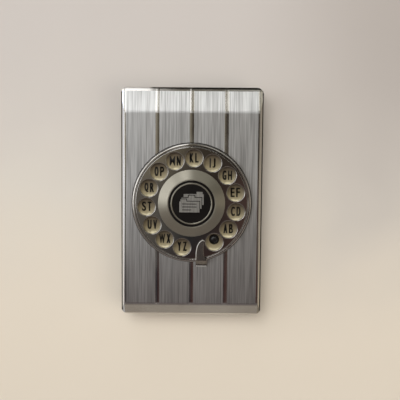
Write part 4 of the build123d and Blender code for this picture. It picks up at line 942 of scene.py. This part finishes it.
def tabbed_card(x, y, tab_x, grow=0.0):
    """Corners of a card with one tab on its top edge, grown evenly all round."""
    left, right = x - CARD_WIDTH / 2 - grow, x + CARD_WIDTH / 2 + grow
    low, high = y - CARD_HEIGHT / 2 - grow, y + CARD_HEIGHT / 2 + grow
    tab_left = x + tab_x - TAB_WIDTH / 2 - grow
    tab_right = x + tab_x + TAB_WIDTH / 2 + grow
    tab_top = high + TAB_HEIGHT
    body = [(left, low), (right, low), (right, high)]
    tab = [(tab_right, high), (tab_right, tab_top), (tab_left, tab_top), (tab_left, high)]
    return [*body, *tab, (left, high)]


lift = DISC_TOP
for name, place in DEVICE_CARDS.items():
    x, y, tab_x = [value * MM for value in place]
    if name != "device_card_a":  # nothing lies behind the rear card
        outline = tabbed_card(x, y, tab_x, OUTLINE_GAP)
        flat_shape(name + "_shade", outline, lift, SILVER_THICKNESS, black)
        lift += SILVER_THICKNESS
    flat_shape(name, tabbed_card(x, y, tab_x), lift, SILVER_THICKNESS, silver)
    lift += SILVER_THICKNESS
front_x, front_y = [value * MM for value in DEVICE_CARDS["device_card_c"][:2]]
for row, rule_end in enumerate(RULE_ENDS):
    middle = front_y + (row - 1) * RULE_GAP
    left, right = front_x + CARD_WIDTH * RULE_START, front_x + CARD_WIDTH * rule_end
    low, high = middle - HALF_RULE, middle + HALF_RULE
    corners = [(left, low), (right, low), (right, high), (left, high)]
    flat_shape(f"device_rule_{row}", corners, lift, INK_THICKNESS, black)
print("device", round((lift - DISC_TOP) / MM, 2), "mm thick")

# %% [markdown]
# Each letter card has a tab at the front with its pair of letters, a step to the left of
# the card above it. The steps are those of the selector's hook.

# %% Letters on the cards' tabs
SELECTOR_HOME_X = 24 * MM
TAB_LETTER_HEIGHT = 2.4 * MM
FROM_TAB_FRONT = 2.2 * MM
HOOK_STEP = JOINTS["selector_travel"]["range_m"][0] / len(LETTER_PAIRS)
for place, pair in enumerate(LETTER_PAIRS, start=1):
    card = "card_" + pair.lower()
    low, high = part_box(card)
    x = SELECTOR_HOME_X + place * HOOK_STEP - 0.2 * MM
    spot = Vector((x, low[1] + FROM_TAB_FRONT, high[2]))
    printed("tab_" + pair.lower(), pair, spot, TAB_LETTER_HEIGHT, card, boldness=0.01)
print("tab letters", round(-HOOK_STEP / MM, 2), "mm apart")

# %% [markdown]
# The press bar squeezes two little coil springs against their seats. In the frame they are rigid;
# each is replaced by a copy of its mesh that rides on the base.

# %% Copies of the springs
for side in ("left", "right"):
    low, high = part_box("press_spring_" + side)
    coil = bmesh.new()
    coil.from_mesh(frame["nodes"]["press_spring_" + side].data)
    bmesh.ops.remove_doubles(coil, verts=coil.verts, dist=WELD)
    piece = finished("press_coil_" + side, coil, "base", spring)
    piece.data.shade_smooth()
    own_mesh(piece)
    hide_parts("press_spring_" + side)
